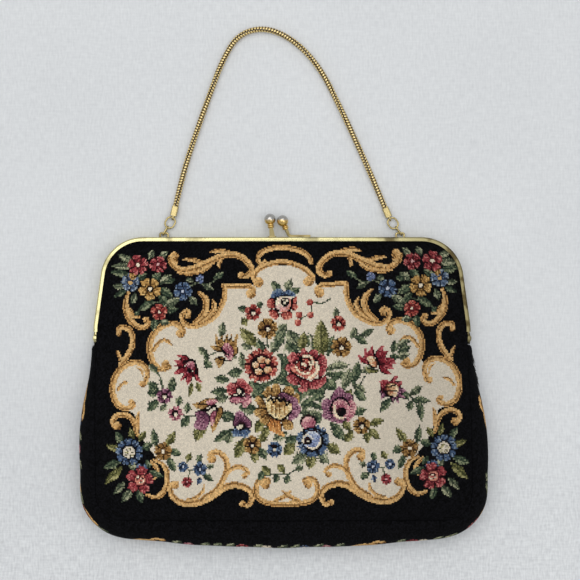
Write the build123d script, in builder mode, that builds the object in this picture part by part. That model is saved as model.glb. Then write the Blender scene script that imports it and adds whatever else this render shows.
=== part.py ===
from build123d import *
import math
import os

# A tapestry evening bag: a hinged brass frame with a ball clasp, two cloth panels joined by a gusset,
# a lining and a chain handle. The bag lies on its back. +X runs along the frame, +Y from the bottom
# of the bag towards the clasp, and +Z from the back to the front. Sizes are in millimetres.

# The filled pouch
BAG_WIDTH = 229.0  # across the gusset where it is widest
BAG_DROP = 174.5  # from the top of the frame to the bottom of the gusset
BELLY = 24.0  # from the back to the highest point of the front
SEAM_LIFT = 17.0  # bottom seam of the panels above the lowest edge
SEAM_R = 17.0  # bottom corners of the panels
SEAM_GAP = 0.45  # between the edges of a panel and of the gusset
TAPESTRY = 1.2
LINING = 0.4
LINING_GAP = 0.3  # between the tapestry and the lining
BACK_REST = 0.06  # how far the cloth of the back stays above the plane of the frame's back

# The two frame halves, each a channel bent to a U
FRAME_TOP_WIDTH = 198.0  # between the top corners, before they are rounded
HINGE_WIDTH = 212.0  # over the two hinge ends
HINGE_DROP = 57.0  # hinge pin below the top of the frame
FRAME_CORNER_R = 24.0
CHANNEL_DEPTH = 5.1
METAL = 0.6
OUTER_LIP = 2.3
INNER_LIP = 2.4
ROLLED_EDGE_R = 1.2
HALVES_GAP = 0.3
PANEL_INSET = 1.6  # edge of the cloth inside the outer line of the frame
CLOTH_CLEARANCE = 0.25

# The hinge
EAR_R = 3.3
EAR_THICKNESS = 0.6
EAR_GAP = 0.15
EAR_CLEARANCE = 0.5  # between an ear and the end of the other half's channel
TONGUE_LENGTH = 3.0
TONGUE_WIDTH = 1.8
RIVET_R = 1.0
RIVET_CLEARANCE = 0.05
RIVET_HEAD_R = 1.9
RIVET_HEAD_HEIGHT = 1.0
RIVET_HEAD_GAP = 0.1

# The ball clasp
BALL_R = 3.2
FRONT_BALL_X = -6.8
FRONT_BALL_RISE = 10.2  # centre of the ball above the top of the frame
BACK_BALL_X = 0.3
BACK_BALL_RISE = 9.3
CLASP_CROSS = 0.4  # how far each ball stands past the middle of the frame
BEAD_HEIGHT = 1.1
BEAD_R = 1.75
NECK_R = 1.15
POST_FOOT_X = -5.5
POST_WIDTH = 2.2
POST_THICKNESS = 1.3
POST_FLARE = 0.8
POST_FOOT_WIDTH = 4.6
POST_FOOT_DEPTH = 2.6
POST_FOOT_THICKNESS = 0.6
STRIP_BEND_X = 3.9
STRIP_TAIL_LENGTH = 12.2
STRIP_WIDTH = 2.2
STRIP_THICKNESS = 1.5
STRIP_BEND_R = 2.2

# The chain handle and what holds it
HANDLE_Z = 2.0  # height of the whole handle above the surface it lies on
CHAIN_DIAMETER = 3.3
LOOP_X = 67.0  # middle of each loop on the frame
LOOP_WIRE = 1.1
LOOP_WIDTH = 5.6
LOOP_RISE = 2.6  # axis of the loop's bar above the frame
LOOP_BEND_R = 0.9
LINK_WIRE = 1.0
LINK_CLEARANCE = 0.25
LINK_EYE_LENGTH = 3.0  # straight length of the small eye round the loop's bar
LINK_RING_LENGTH = 1.2  # straight length of the wide ring
LINK_RING_R = 2.6
LINK_CROSSING = 0.6  # overlap of the two bends where the link is twisted
LEFT_LINK_LEAN = 30.0  # degrees from +Y, towards +X
RIGHT_LINK_LEAN = -36.0
CAP_LENGTH = 5.5
CAP_WIDTH = 3.7
CAP_HEIGHT = 3.6
CAP_EDGE_R = 0.8
CAP_EYE_WIRE = 0.9
CAP_EYE_REACH = 1.0
LEFT_CAP_LEAN = 12.8
RIGHT_CAP_LEAN = -23.0
LEFT_FIRST_RUN = 21.2
RIGHT_FIRST_RUN = 18.5
CHAIN_ROUTE = (
    (-48.6, 140.5),
    (-41.2, 161.6),
    (-33.8, 181.4),
    (-25.0, 196.2),
    (-9.1, 200.2),
    (7.9, 192.2),
    (22.1, 176.3),
    (32.9, 154.7),
    (43.1, 132.9),
)
ARC_SHARE = 0.45  # part of the shorter run that each bend of the chain takes

OVERRUN = 5.0  # how far every cut runs past what it cuts

# Where the pouch reaches its full shape, as shares of its drop
CROWN_END_SHARE = 0.75  # middle of the front
RIM_END_SHARE = 0.63  # seams of the front
FALL_START_SHARE = 0.72  # the front falls from here to the bottom seam
SIDE_END_SHARE = 0.64  # side bulge of the gusset
REST_END_SHARE = 0.63  # the back touches what it lies on from here
# Heights and bulges, as shares of their full values
RIM_SHARE = 0.70  # front height along the seams
GUSSET_TOP_SHARE = 0.25  # side bulge at the upper ends of the gusset
BOTTOM_BOW_SHARE = 0.45  # how much less the bottom bulges towards its corners
KNEE_SHARE = 0.5  # part of the tongue's length that the bend of the arm above it takes

# Steps in which the cloth surfaces are worked out
PANEL_STEPS = 18
SEAM_STEPS = 64
BULGE_STEPS = 8
SURFACE_TOLERANCE = 0.04

# Places that follow from the sizes
FRAME_THICKNESS = 2 * CHANNEL_DEPTH + HALVES_GAP
MID_Z = FRAME_THICKNESS / 2
CLASP_RISE = max(FRONT_BALL_RISE, BACK_BALL_RISE) + BALL_R
TOP_Y = (BAG_DROP - CLASP_RISE) / 2
BOTTOM_Y = TOP_Y - BAG_DROP
HINGE_Y = TOP_Y - HINGE_DROP
ARM_END_Y = HINGE_Y + EAR_R + EAR_CLEARANCE
KNEE_Y = ARM_END_Y + TONGUE_LENGTH
FLARE = abs(math.atan2((HINGE_WIDTH - FRAME_TOP_WIDTH) / 2, TOP_Y - KNEE_Y))
KNEE_R = KNEE_SHARE * TONGUE_LENGTH / math.tan(FLARE / 2)
FRONT_SEAT = FRAME_THICKNESS - METAL - CLOTH_CLEARANCE
BACK_SEAT = METAL + CLOTH_CLEARANCE
RISE = BELLY - FRONT_SEAT
SEAM_X = HINGE_WIDTH / 2 - PANEL_INSET
SEAM_Y = BOTTOM_Y + SEAM_LIFT
SIDE_BULGE = BAG_WIDTH / 2 - SEAM_X
GUSSET_TOP_Y = HINGE_Y - CHANNEL_DEPTH - HALVES_GAP - EAR_CLEARANCE
BACK_EAR_X = HINGE_WIDTH / 2 - EAR_THICKNESS
FRONT_EAR_X = BACK_EAR_X - EAR_GAP - EAR_THICKNESS
BALL_STAND = 2 * BEAD_HEIGHT + math.sqrt(BALL_R**2 - NECK_R**2)
BAR_Y = TOP_Y + LOOP_RISE
LINK_EYE_R = LOOP_WIRE / 2 + LINK_CLEARANCE + LINK_WIRE / 2
LINK_RING_START = LINK_EYE_LENGTH + LINK_EYE_R - LINK_CROSSING + LINK_RING_R
LINK_REACH = LINK_RING_START + LINK_RING_LENGTH + LINK_RING_R
CAP_EYE_R = LINK_WIRE / 2 + LINK_CLEARANCE + CAP_EYE_WIRE / 2


def lean(degrees):
    """The level direction that leans by so many degrees from +Y towards +X."""
    return Vector(math.sin(math.radians(degrees)), math.cos(math.radians(degrees)), 0)


def finish(part, name):
    """Name a finished piece and write it."""
    part.label = name
    export_step(part, f"parts/{name}.step")


def frame_half(front, ear_x):
    """One half of the frame: front is 1 for the front half and -1 for the back half.

    A channel is swept along the outer line of the frame, and an ear at ear_x closes each end of it.
    """
    hinge, corner = HINGE_WIDTH / 2, FRAME_TOP_WIDTH / 2
    inner_face = front * HALVES_GAP / 2
    outer_face = inner_face + front * CHANNEL_DEPTH
    tongue_z = inner_face + front * (METAL + TONGUE_WIDTH / 2)
    with BuildPart() as half:
        with BuildLine(Plane.XY.offset(MID_Z)) as path:
            FilletPolyline(
                (-hinge, ARM_END_Y),
                (-hinge, KNEE_Y),
                (-corner, TOP_Y),
                (corner, TOP_Y),
                (hinge, KNEE_Y),
                (hinge, ARM_END_Y),
                radius=[KNEE_R, FRAME_CORNER_R, FRAME_CORNER_R, KNEE_R],
            )
        with BuildSketch(Plane(origin=path.line @ 0, x_dir=(1, 0, 0), z_dir=(0, -1, 0))) as section:
            with BuildLine():
                Polyline(
                    (0, inner_face),
                    (INNER_LIP, inner_face),
                    (INNER_LIP, inner_face + front * METAL),
                    (METAL, inner_face + front * METAL),
                    (METAL, outer_face - front * METAL),
                    (OUTER_LIP, outer_face - front * METAL),
                    (OUTER_LIP, outer_face),
                    (0, outer_face),
                    close=True,
                )
            make_face()
            outer_corner = section.vertices().sort_by_distance((0, outer_face))[0]
            fillet(outer_corner, radius=ROLLED_EDGE_R)
        sweep(sections=section.sketch, path=path.line)
        for side in (-1, 1):
            flat = Plane(origin=(side * ear_x, HINGE_Y, MID_Z), x_dir=(0, side, 0), z_dir=(side, 0, 0))
            with BuildSketch(flat) as ear:
                Circle(EAR_R)
                with Locations((side * (KNEE_Y - HINGE_Y) / 2, tongue_z)):
                    Rectangle(KNEE_Y - HINGE_Y, TONGUE_WIDTH)
            extrude(ear.sketch, amount=EAR_THICKNESS)
            with BuildSketch(flat) as tongue:
                with Locations((side * (ARM_END_Y + KNEE_Y - 2 * HINGE_Y) / 2, tongue_z)):
                    Rectangle(KNEE_Y - ARM_END_Y, TONGUE_WIDTH)
            extrude(tongue.sketch, amount=hinge - METAL / 2 - ear_x)
            with BuildSketch(flat.offset(-OVERRUN)) as hole:
                Circle(RIVET_R + RIVET_CLEARANCE)
            extrude(hole.sketch, amount=EAR_THICKNESS + 2 * OVERRUN, mode=Mode.SUBTRACT)
    return half.part


def hinge_rivet(side):
    """A rivet through both ears of one side, with a domed head at each end."""
    inner = FRONT_EAR_X - RIVET_HEAD_GAP
    outer = HINGE_WIDTH / 2 + RIVET_HEAD_GAP
    dome_r = (RIVET_HEAD_R**2 + RIVET_HEAD_HEIGHT**2) / (2 * RIVET_HEAD_HEIGHT)
    with BuildPart() as rivet:
        with BuildSketch(Plane(origin=(0, HINGE_Y, MID_Z), x_dir=(side, 0, 0), z_dir=(0, 0, 1))):
            with BuildLine():
                Line((outer + RIVET_HEAD_HEIGHT, 0), (inner - RIVET_HEAD_HEIGHT, 0))
                RadiusArc((inner - RIVET_HEAD_HEIGHT, 0), (inner, RIVET_HEAD_R), dome_r)
                Polyline((inner, RIVET_HEAD_R), (inner, RIVET_R), (outer, RIVET_R), (outer, RIVET_HEAD_R))
                RadiusArc((outer, RIVET_HEAD_R), (outer + RIVET_HEAD_HEIGHT, 0), dome_r)
            make_face()
        revolve(axis=Axis((0, HINGE_Y, MID_Z), (1, 0, 0)))
    return rivet.part


def clasp_ball(centre, direction):
    """A turned ball on two beads; it stands on the end of its arm and points along direction."""
    tip = centre - direction * BALL_STAND
    across = direction.cross(Vector(1, 0, 0)).normalized()
    with BuildPart() as ball:
        with BuildSketch(Plane(origin=tip, x_dir=across, z_dir=across.cross(direction))):
            with Locations((0, BALL_STAND)):
                Circle(BALL_R)
            Rectangle(2 * NECK_R, 2 * BEAD_HEIGHT, align=(Align.CENTER, Align.MIN))
            for number in range(2):
                with Locations((0, (number + 1 / 2) * BEAD_HEIGHT)):
                    SlotOverall(2 * BEAD_R, BEAD_HEIGHT)
            half_width, whole_height = BALL_R + OVERRUN, 2 * (BALL_STAND + BALL_R)
            Rectangle(half_width, whole_height, align=(Align.MAX, Align.MIN), mode=Mode.SUBTRACT)
        revolve(axis=Axis(tip, direction))
    return ball.part


def wire_along(path, wire):
    """Sweep a round wire along a path."""
    with BuildPart() as swept:
        with BuildSketch(Plane(origin=path @ 0, z_dir=path % 0)) as section:
            Circle(wire / 2)
        sweep(sections=section.sketch, path=path)
    return swept.part


def wire_ring(plane, length, radius, wire):
    """A closed wire ring with straight sides; its first bend is centred on the plane's origin."""
    with BuildLine(plane) as path:
        Line((0, radius), (length, radius))
        ThreePointArc((length, radius), (length + radius, 0), (length, -radius))
        Line((length, -radius), (0, -radius))
        ThreePointArc((0, -radius), (-radius, 0), (0, radius))
    return wire_along(path.line, wire)


def frame_loop(x):
    """The wire loop on the back half's top edge that holds one end of the handle."""
    leg = (LOOP_WIDTH - LOOP_WIRE) / 2
    with BuildLine() as path:
        FilletPolyline(
            (x - leg, TOP_Y, HANDLE_Z),
            (x - leg, BAR_Y, HANDLE_Z),
            (x + leg, BAR_Y, HANDLE_Z),
            (x + leg, TOP_Y, HANDLE_Z),
            radius=LOOP_BEND_R,
        )
    return wire_along(path.line, LOOP_WIRE)


def twisted_link(x, link_lean):
    """A figure-of-eight wire link: an upright eye round the loop's bar and a ring that lies flat."""
    axis = lean(link_lean)
    bar = Vector(x, BAR_Y, HANDLE_Z)
    upright = Plane(origin=bar, x_dir=axis, z_dir=axis.cross(Vector(0, 0, 1)))
    level = Plane(origin=bar + axis * LINK_RING_START, x_dir=axis, z_dir=(0, 0, 1))
    with BuildPart() as link:
        add(wire_ring(upright, LINK_EYE_LENGTH, LINK_EYE_R, LINK_WIRE))
        add(wire_ring(level, LINK_RING_LENGTH, LINK_RING_R, LINK_WIRE))
    return link.part


def eye_centre(x, link_lean):
    """Where a link's ring passes through the eye of the chain's cap."""
    return Vector(x, BAR_Y, HANDLE_Z) + lean(link_lean) * LINK_REACH


def chain_cap(x, link_lean, cap_lean):
    """The crimped cap on one end of the chain, with its wire eye."""
    axis = lean(cap_lean)
    centre = eye_centre(x, link_lean)
    with BuildLine(Plane(origin=centre, x_dir=axis, z_dir=axis.cross(Vector(0, 0, 1)))) as eye:
        Line((CAP_EYE_REACH, CAP_EYE_R), (0, CAP_EYE_R))
        ThreePointArc((0, CAP_EYE_R), (-CAP_EYE_R, 0), (0, -CAP_EYE_R))
        Line((0, -CAP_EYE_R), (CAP_EYE_REACH, -CAP_EYE_R))
    with BuildPart() as cap:
        with BuildSketch(Plane(origin=centre + axis * CAP_EYE_REACH, x_dir=(0, 0, 1), z_dir=axis)):
            RectangleRounded(CAP_HEIGHT, CAP_WIDTH, CAP_EDGE_R)
        extrude(amount=CAP_LENGTH)
        add(wire_along(eye.line, CAP_EYE_WIRE))
    return cap.part


def chain_end(x, link_lean, cap_lean, first_run):
    """The first two points of the chain's route at one end."""
    start = eye_centre(x, link_lean) + lean(cap_lean) * (CAP_EYE_REACH + CAP_LENGTH)
    return [start, start + lean(cap_lean) * first_run]


def panel_outline(plane):
    """The outline of a cloth panel: inside the frame above the hinge, and the seam below it."""
    hinge, corner = HINGE_WIDTH / 2, FRAME_TOP_WIDTH / 2
    bottom = SEAM_Y - PANEL_INSET
    with BuildSketch(plane) as outline:
        with BuildLine():
            FilletPolyline(
                (-hinge, bottom),
                (-hinge, KNEE_Y),
                (-corner, TOP_Y),
                (corner, TOP_Y),
                (hinge, KNEE_Y),
                (hinge, bottom),
                radius=[SEAM_R, KNEE_R, FRAME_CORNER_R, FRAME_CORNER_R, KNEE_R, SEAM_R],
                close=True,
            )
        make_face()
        offset(amount=-PANEL_INSET, mode=Mode.REPLACE)
    return outline.sketch


def smooth(value, start, end):
    """Rise from 0 to 1 between two values, level at both ends."""
    share = min(max((value - start) / (end - start), 0), 1)
    return share**2 * (3 - 2 * share)


def front_height(x, y):
    """Height of the front's outer face: flat inside the frame, then rising to the belly."""
    drop = TOP_Y - y
    dome = (1 - min(abs(x) / (HINGE_WIDTH / 2), 1) ** 4) ** 2
    rim = RIM_SHARE * smooth(drop, HINGE_DROP - EAR_R, RIM_END_SHARE * BAG_DROP)
    crown = smooth(drop, OUTER_LIP, CROWN_END_SHARE * BAG_DROP)
    fall_start = FALL_START_SHARE * BAG_DROP
    fall = min(max((drop - fall_start) / (BAG_DROP - SEAM_LIFT - fall_start), 0), 1) ** 2
    crown += (RIM_SHARE - crown) * fall
    return FRONT_SEAT + RISE * (rim + (crown - rim) * dome)


def back_height(x, y):
    """Height of the back's outer face: held up by the frame's lip, then down on what it lies on."""
    fallen = smooth(TOP_Y - y, HINGE_DROP, REST_END_SHARE * BAG_DROP)
    return BACK_SEAT + (BACK_REST - BACK_SEAT) * fallen


def cloth_panel(height, up, inset, thickness):
    """A panel that follows a height over the panel outline; up is 1 for the front and -1 for the back."""
    rows = []
    for row in range(PANEL_STEPS + 1):
        y = BOTTOM_Y + (TOP_Y + OVERRUN - BOTTOM_Y) * row / PANEL_STEPS
        columns = [HINGE_WIDTH * (column / PANEL_STEPS - 1 / 2) for column in range(PANEL_STEPS + 1)]
        rows.append([(x, y, height(x, y) - up * inset) for x in columns])
    with BuildPart() as panel:
        face = Face.make_surface_from_array_of_points(rows, tol=SURFACE_TOLERANCE, min_deg=3)
        thicken(face, amount=-thickness, normal_override=(0, 0, up))
        below = Plane.XY.offset(-OVERRUN)
        extrude(panel_outline(below), amount=BELLY + 2 * OVERRUN, mode=Mode.INTERSECT)
    return panel.part


def gusset_face(inset):
    """The face that the gusset follows, inset from its outer face: half an oval round the whole seam."""
    with BuildLine() as seam:
        FilletPolyline(
            (-SEAM_X, GUSSET_TOP_Y),
            (-SEAM_X, SEAM_Y),
            (SEAM_X, SEAM_Y),
            (SEAM_X, GUSSET_TOP_Y),
            radius=SEAM_R - PANEL_INSET,
        )
    rows = []
    for step in range(SEAM_STEPS + 1):
        at, along = seam.line @ (step / SEAM_STEPS), seam.line % (step / SEAM_STEPS)
        out = Vector(along.Y, -along.X, 0)
        grown = smooth(TOP_Y - at.Y, TOP_Y - GUSSET_TOP_Y, SIDE_END_SHARE * BAG_DROP)
        side = SIDE_BULGE * (GUSSET_TOP_SHARE + (1 - GUSSET_TOP_SHARE) * grown)
        bottom = SEAM_LIFT * (1 - BOTTOM_BOW_SHARE * (at.X / SEAM_X) ** 2)
        bulge = side * out.X**2 + bottom * out.Y**2 - inset - SEAM_GAP
        high, low = front_height(at.X, at.Y) - inset, back_height(at.X, at.Y) + inset
        row = []
        for turn in range(BULGE_STEPS + 1):
            angle = math.pi * turn / BULGE_STEPS
            level = (high + low) / 2 + (high - low) / 2 * math.cos(angle)
            row.append(at + out * (SEAM_GAP + bulge * math.sin(angle)) + Vector(0, 0, level))
        rows.append(row)
    return Face.make_surface_from_array_of_points(rows, tol=SURFACE_TOLERANCE, min_deg=3)


def cloth_gusset(inset, thickness):
    """The strip that joins the panels down both sides and along the bottom, bulging outwards."""
    outer, inner = gusset_face(inset), gusset_face(inset + thickness)
    rims = []
    for edge in outer.edges():
        nearest = inner.edges().sort_by_distance(edge.center())[0]
        rims.append(Face.make_surface_from_curves(edge, nearest))
    with BuildPart() as strip:
        add(Solid(Shell([outer, inner, *rims])))
    return strip.part


os.makedirs("parts", exist_ok=True)

# Frame halves and the rivets that hinge them
finish(frame_half(1, FRONT_EAR_X), "front_frame")
finish(frame_half(-1, BACK_EAR_X), "back_frame")
finish(hinge_rivet(-1), "hinge_rivet_left")
finish(hinge_rivet(1), "hinge_rivet_right")

# Ball clasp: an upright post on the front half and a bent strip on the back half
front_ball = Vector(FRONT_BALL_X, TOP_Y + FRONT_BALL_RISE, MID_Z - CLASP_CROSS)
post_foot = Vector(POST_FOOT_X, TOP_Y, MID_Z + (HALVES_GAP + CHANNEL_DEPTH) / 2)
post_direction = (front_ball - post_foot).normalized()
with BuildPart() as front_clasp_arm:
    foot = Plane(origin=post_foot, x_dir=(1, 0, 0), z_dir=(0, 1, 0))
    with BuildSketch(foot) as foot_plate:
        RectangleRounded(POST_FOOT_WIDTH, POST_FOOT_DEPTH, POST_FOOT_DEPTH / 3)
    extrude(foot_plate.sketch, amount=POST_FOOT_THICKNESS)
    with BuildSketch(foot.offset(POST_FOOT_THICKNESS)) as post_base:
        Rectangle(POST_WIDTH + POST_FLARE, POST_THICKNESS + POST_FLARE)
    tip = Plane(origin=front_ball - post_direction * BALL_STAND, x_dir=(1, 0, 0), z_dir=post_direction)
    with BuildSketch(tip) as post_tip:
        Rectangle(POST_WIDTH, POST_THICKNESS)
    loft([post_base.sketch, post_tip.sketch])
finish(front_clasp_arm.part, "front_clasp_arm")
finish(clasp_ball(front_ball, post_direction), "front_clasp_ball")

back_ball = Vector(BACK_BALL_X, TOP_Y + BACK_BALL_RISE, MID_Z + CLASP_CROSS)
strip_bend = Vector(STRIP_BEND_X, TOP_Y + STRIP_THICKNESS / 2, CHANNEL_DEPTH / 2)
strip_direction = (back_ball - strip_bend).normalized()
with BuildPart() as back_clasp_arm:
    with BuildLine() as strip:
        FilletPolyline(
            strip_bend + Vector(STRIP_TAIL_LENGTH, 0, 0),
            strip_bend,
            back_ball - strip_direction * BALL_STAND,
            radius=STRIP_BEND_R,
        )
    with BuildSketch(Plane(origin=strip.line @ 0, x_dir=(0, 1, 0), z_dir=(-1, 0, 0))) as section:
        Rectangle(STRIP_THICKNESS, STRIP_WIDTH)
    sweep(sections=section.sketch, path=strip.line)
finish(back_clasp_arm.part, "back_clasp_arm")
finish(clasp_ball(back_ball, strip_direction), "back_clasp_ball")

# Loops, twisted links and caps at the two ends of the handle
handle_ends = (
    ("left", -LOOP_X, LEFT_LINK_LEAN, LEFT_CAP_LEAN),
    ("right", LOOP_X, RIGHT_LINK_LEAN, RIGHT_CAP_LEAN),
)
for name, x, link_lean, cap_lean in handle_ends:
    finish(frame_loop(x), f"chain_loop_{name}")
    finish(twisted_link(x, link_lean), f"chain_link_{name}")
    finish(chain_cap(x, link_lean, cap_lean), f"chain_cap_{name}")

# The chain itself, as one tube of straight runs and the largest bends that they leave room for
first = chain_end(-LOOP_X, LEFT_LINK_LEAN, LEFT_CAP_LEAN, LEFT_FIRST_RUN)
last = chain_end(LOOP_X, RIGHT_LINK_LEAN, RIGHT_CAP_LEAN, RIGHT_FIRST_RUN)
route = first + [Vector(x, y, HANDLE_Z) for x, y in CHAIN_ROUTE] + last[::-1]
runs = [after - before for before, after in zip(route, route[1:])]
bends = []
for before, after in zip(runs, runs[1:]):
    half_turn = math.radians(before.get_angle(after)) / 2
    bends.append(ARC_SHARE * min(before.length, after.length) / math.tan(half_turn))
with BuildLine() as chain_line:
    FilletPolyline(*route, radius=bends)
handle_chain = wire_along(chain_line.line, CHAIN_DIAMETER)
finish(handle_chain, "handle_chain")
chain_length = sum(edge.length for edge in chain_line.edges())
chain_section = math.pi * CHAIN_DIAMETER**2 / 4
print("chain points", [(round(point.X, 2), round(point.Y, 2)) for point in route])
print("chain runs", [round(run.length, 1) for run in runs])
print("chain bend radii", [round(radius, 1) for radius in bends])
print("chain length", round(chain_length, 1))
print("chain volume over section times length", handle_chain.volume / (chain_section * chain_length))

# Tapestry panels and gusset, and the lining sewn from the same three shapes just inside them
lining_inset = TAPESTRY + LINING_GAP
finish(cloth_panel(front_height, 1, 0, TAPESTRY), "front_panel")
finish(cloth_panel(back_height, -1, 0, TAPESTRY), "back_panel")
finish(cloth_gusset(0, TAPESTRY), "gusset")
finish(cloth_panel(front_height, 1, lining_inset, LINING), "front_lining")
finish(cloth_panel(back_height, -1, lining_inset, LINING), "back_lining")
finish(cloth_gusset(lining_inset, LINING), "gusset_lining")
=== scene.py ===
import math

import bpy
import numpy as np
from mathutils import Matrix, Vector
from mathutils.bvhtree import BVHTree


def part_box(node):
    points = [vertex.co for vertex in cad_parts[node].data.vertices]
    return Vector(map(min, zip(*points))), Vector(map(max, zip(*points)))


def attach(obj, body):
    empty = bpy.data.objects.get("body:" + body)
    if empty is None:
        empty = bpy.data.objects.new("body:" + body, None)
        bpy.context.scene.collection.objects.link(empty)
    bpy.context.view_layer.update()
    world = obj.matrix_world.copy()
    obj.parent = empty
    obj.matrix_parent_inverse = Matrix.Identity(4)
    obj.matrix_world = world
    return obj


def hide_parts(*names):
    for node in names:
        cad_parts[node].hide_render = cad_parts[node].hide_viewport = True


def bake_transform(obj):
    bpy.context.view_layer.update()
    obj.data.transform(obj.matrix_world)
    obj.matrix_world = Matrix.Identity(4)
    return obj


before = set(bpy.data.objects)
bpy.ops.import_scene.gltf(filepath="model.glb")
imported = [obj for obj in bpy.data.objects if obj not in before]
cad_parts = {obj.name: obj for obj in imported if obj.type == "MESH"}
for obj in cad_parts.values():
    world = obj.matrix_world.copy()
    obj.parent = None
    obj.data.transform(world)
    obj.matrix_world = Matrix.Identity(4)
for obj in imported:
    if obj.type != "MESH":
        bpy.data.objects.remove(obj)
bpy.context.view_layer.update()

# A tapestry evening bag on its back: stitched panels and gusset, satin lining, gilt frame, chain handle.
# All lengths are in metres, in the frame of the solids.

STITCH = 0.00072
TAPESTRY_THICKNESS = 0.0012
LINING_THICKNESS = 0.0004
CAMERA = (0.0045, 0.0508, 0.720)
CAMERA_LENS = 78.47
DRAWING_UNIT = 0.0005695  # side of a drawing unit on the plane that the bag lies on
DRAWING_MIDDLE = 290
BACK_DRAWING_Z = 0.012  # height at which the back's drawing is taken
HINGE_Y = 0.02355
HINGE_Z = 0.00525
SEAM_CORNER = 0.0154
RIM_FALL = (0.00032, 0.00010)  # how far the two outermost rows of stitches are drawn down
SEAM_PULL = 0.0009  # how far the gusset's edges are drawn in under the panels
SEAM_SINK = 0.0005  # and how far they sink there
PLEAT_DEPTH, PLEAT_REACH = 0.0005, 0.018  # of the folds at the gusset's ends
GUSSET_TAIL = 0.003  # how far its gathered ends go up past the solid's
GUSSET_NARROW = 0.7  # the share of their height that is gathered away
FRAYED_THREADS = 22
FRAYED_RADIUS = 0.00013
POUCH_LEAN = 0.0011  # how far the pouch hangs to the right at its bottom
LEAN_REACH = 0.08  # how far below the hinges it does so in full
CAST = 0.06  # how far outside a solid the rays start
CHAIN_ROUTE = (
    (-0.06051, 0.09824), (-0.05581, 0.11891), (-0.0486, 0.1405), (-0.0412, 0.1616), (-0.0338, 0.1814),
    (-0.0250, 0.1962), (-0.0091, 0.2002), (0.0079, 0.1922), (0.0221, 0.1763), (0.0329, 0.1547),
    (0.0431, 0.1329),
    (0.0513, 0.11434), (0.05852, 0.0973),
)
CHAIN_Z = 0.002
CHAIN_ROW = 0.00114  # from the middle of the chain to the middle of a row of links
CHAIN_PITCH = 0.0016
CHAIN_LINK = 0.00077
LINK_SHAPE = (0.72, 1.3, 0.86)
LINK_TILT = 0.4
CHAIN_TWIST = 0.07  # how far each link is turned from the last, in radians


class Signal:
    """One output of a node; arithmetic on it adds Math nodes."""

    def __init__(self, finish, socket):
        self.finish, self.socket = finish, socket

    def math(self, operation, first, second=0.0):
        return self.finish.node("ShaderNodeMath", {"operation": operation}, {0: first, 1: second})["Value"]

    def __add__(self, other):
        return self.math("ADD", self, other)

    def __sub__(self, other):
        return self.math("SUBTRACT", self, other)

    def __rsub__(self, other):
        return self.math("SUBTRACT", other, self)

    def __mul__(self, other):
        return self.math("MULTIPLY", self, other)

    def __pow__(self, other):
        return self.math("POWER", self, other)

    __radd__, __rmul__ = __add__, __mul__

    def sine(self):
        return self.math("SINE", self)

    def size(self):
        return self.math("ABSOLUTE", self)

    def between(self, low, high):
        """0 below low, 1 above high and a smooth rise between them."""
        ranged = {"interpolation_type": "SMOOTHSTEP"}
        return self.finish.node("ShaderNodeMapRange", ranged, {"Value": self, 1: low, 2: high})["Result"]


class Finish:
    """The node tree of one material, with its Principled shader."""

    def __init__(self, name, constants):
        self.material = bpy.data.materials.new(name)
        self.material.use_nodes = True
        self.tree = self.material.node_tree
        self.shader = self.tree.nodes["Principled BSDF"]
        for key, value in constants.items():
            self.shader.inputs[key].default_value = value

    def node(self, kind, settings=None, values=None):
        """Add a node: its settings first, then the value or link of each socket that is named."""
        made = self.tree.nodes.new(kind)
        for key, value in (settings or {}).items():
            if key == "stops":
                while len(made.color_ramp.elements) < len(value):
                    made.color_ramp.elements.new(0.5)
                for element, (place, colour) in zip(made.color_ramp.elements, value):
                    element.position, element.color = place, (*colour, 1)
            else:
                setattr(made, key, value)
        for key, value in (values or {}).items():
            if isinstance(value, Signal):
                self.tree.links.new(value.socket, made.inputs[key])
            else:
                made.inputs[key].default_value = value
        return {socket.name: Signal(self, socket) for socket in made.outputs}

    def place(self):
        """Object coordinates."""
        return self.node("ShaderNodeTexCoord")["Object"]

    def parts(self, vector):
        """The X, Y and Z of a vector."""
        return self.node("ShaderNodeSeparateXYZ", None, {0: vector})

    def noise(self, at, scale, detail=3.0):
        values = {"Vector": at, "Scale": scale, "Detail": detail}
        return self.node("ShaderNodeTexNoise", None, values)["Fac"]

    def grain(self, at, stretch, scale):
        """Noise that is drawn out along an axis."""
        drawn = self.node("ShaderNodeMapping", None, {"Vector": at, "Scale": stretch})["Vector"]
        return self.noise(drawn, scale, 2)

    def mix(self, share, first, second, way="MIX"):
        """Mix two colours, each a link or three numbers."""
        pair = [value if isinstance(value, Signal) else (*value, 1) for value in (first, second)]
        made = self.tree.nodes.new("ShaderNodeMix")
        made.data_type, made.blend_type = "RGBA", way
        for socket, value in zip((made.inputs[0], made.inputs[6], made.inputs[7]), (share, *pair)):
            if isinstance(value, Signal):
                self.tree.links.new(value.socket, socket)
            else:
                socket.default_value = value
        return Signal(self, made.outputs[2])

    def feed(self, **links):
        for key, signal in links.items():
            self.tree.links.new(signal.socket, self.shader.inputs[key.replace("_", " ").title()])

    def bump(self, height, strength, distance):
        values = {"Height": height, "Strength": strength, "Distance": distance}
        self.feed(normal=self.node("ShaderNodeBump", None, values)["Normal"])


def linear(colour):
    """A colour as seen, in 0 to 255, as the light that it stands for."""
    seen = np.asarray(colour, float) / 255
    return np.where(seen <= 0.04045, seen / 12.92, ((seen + 0.055) / 1.055) ** 2.4)


def tone(*colour):
    return tuple(float(value) for value in linear(colour))


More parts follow.
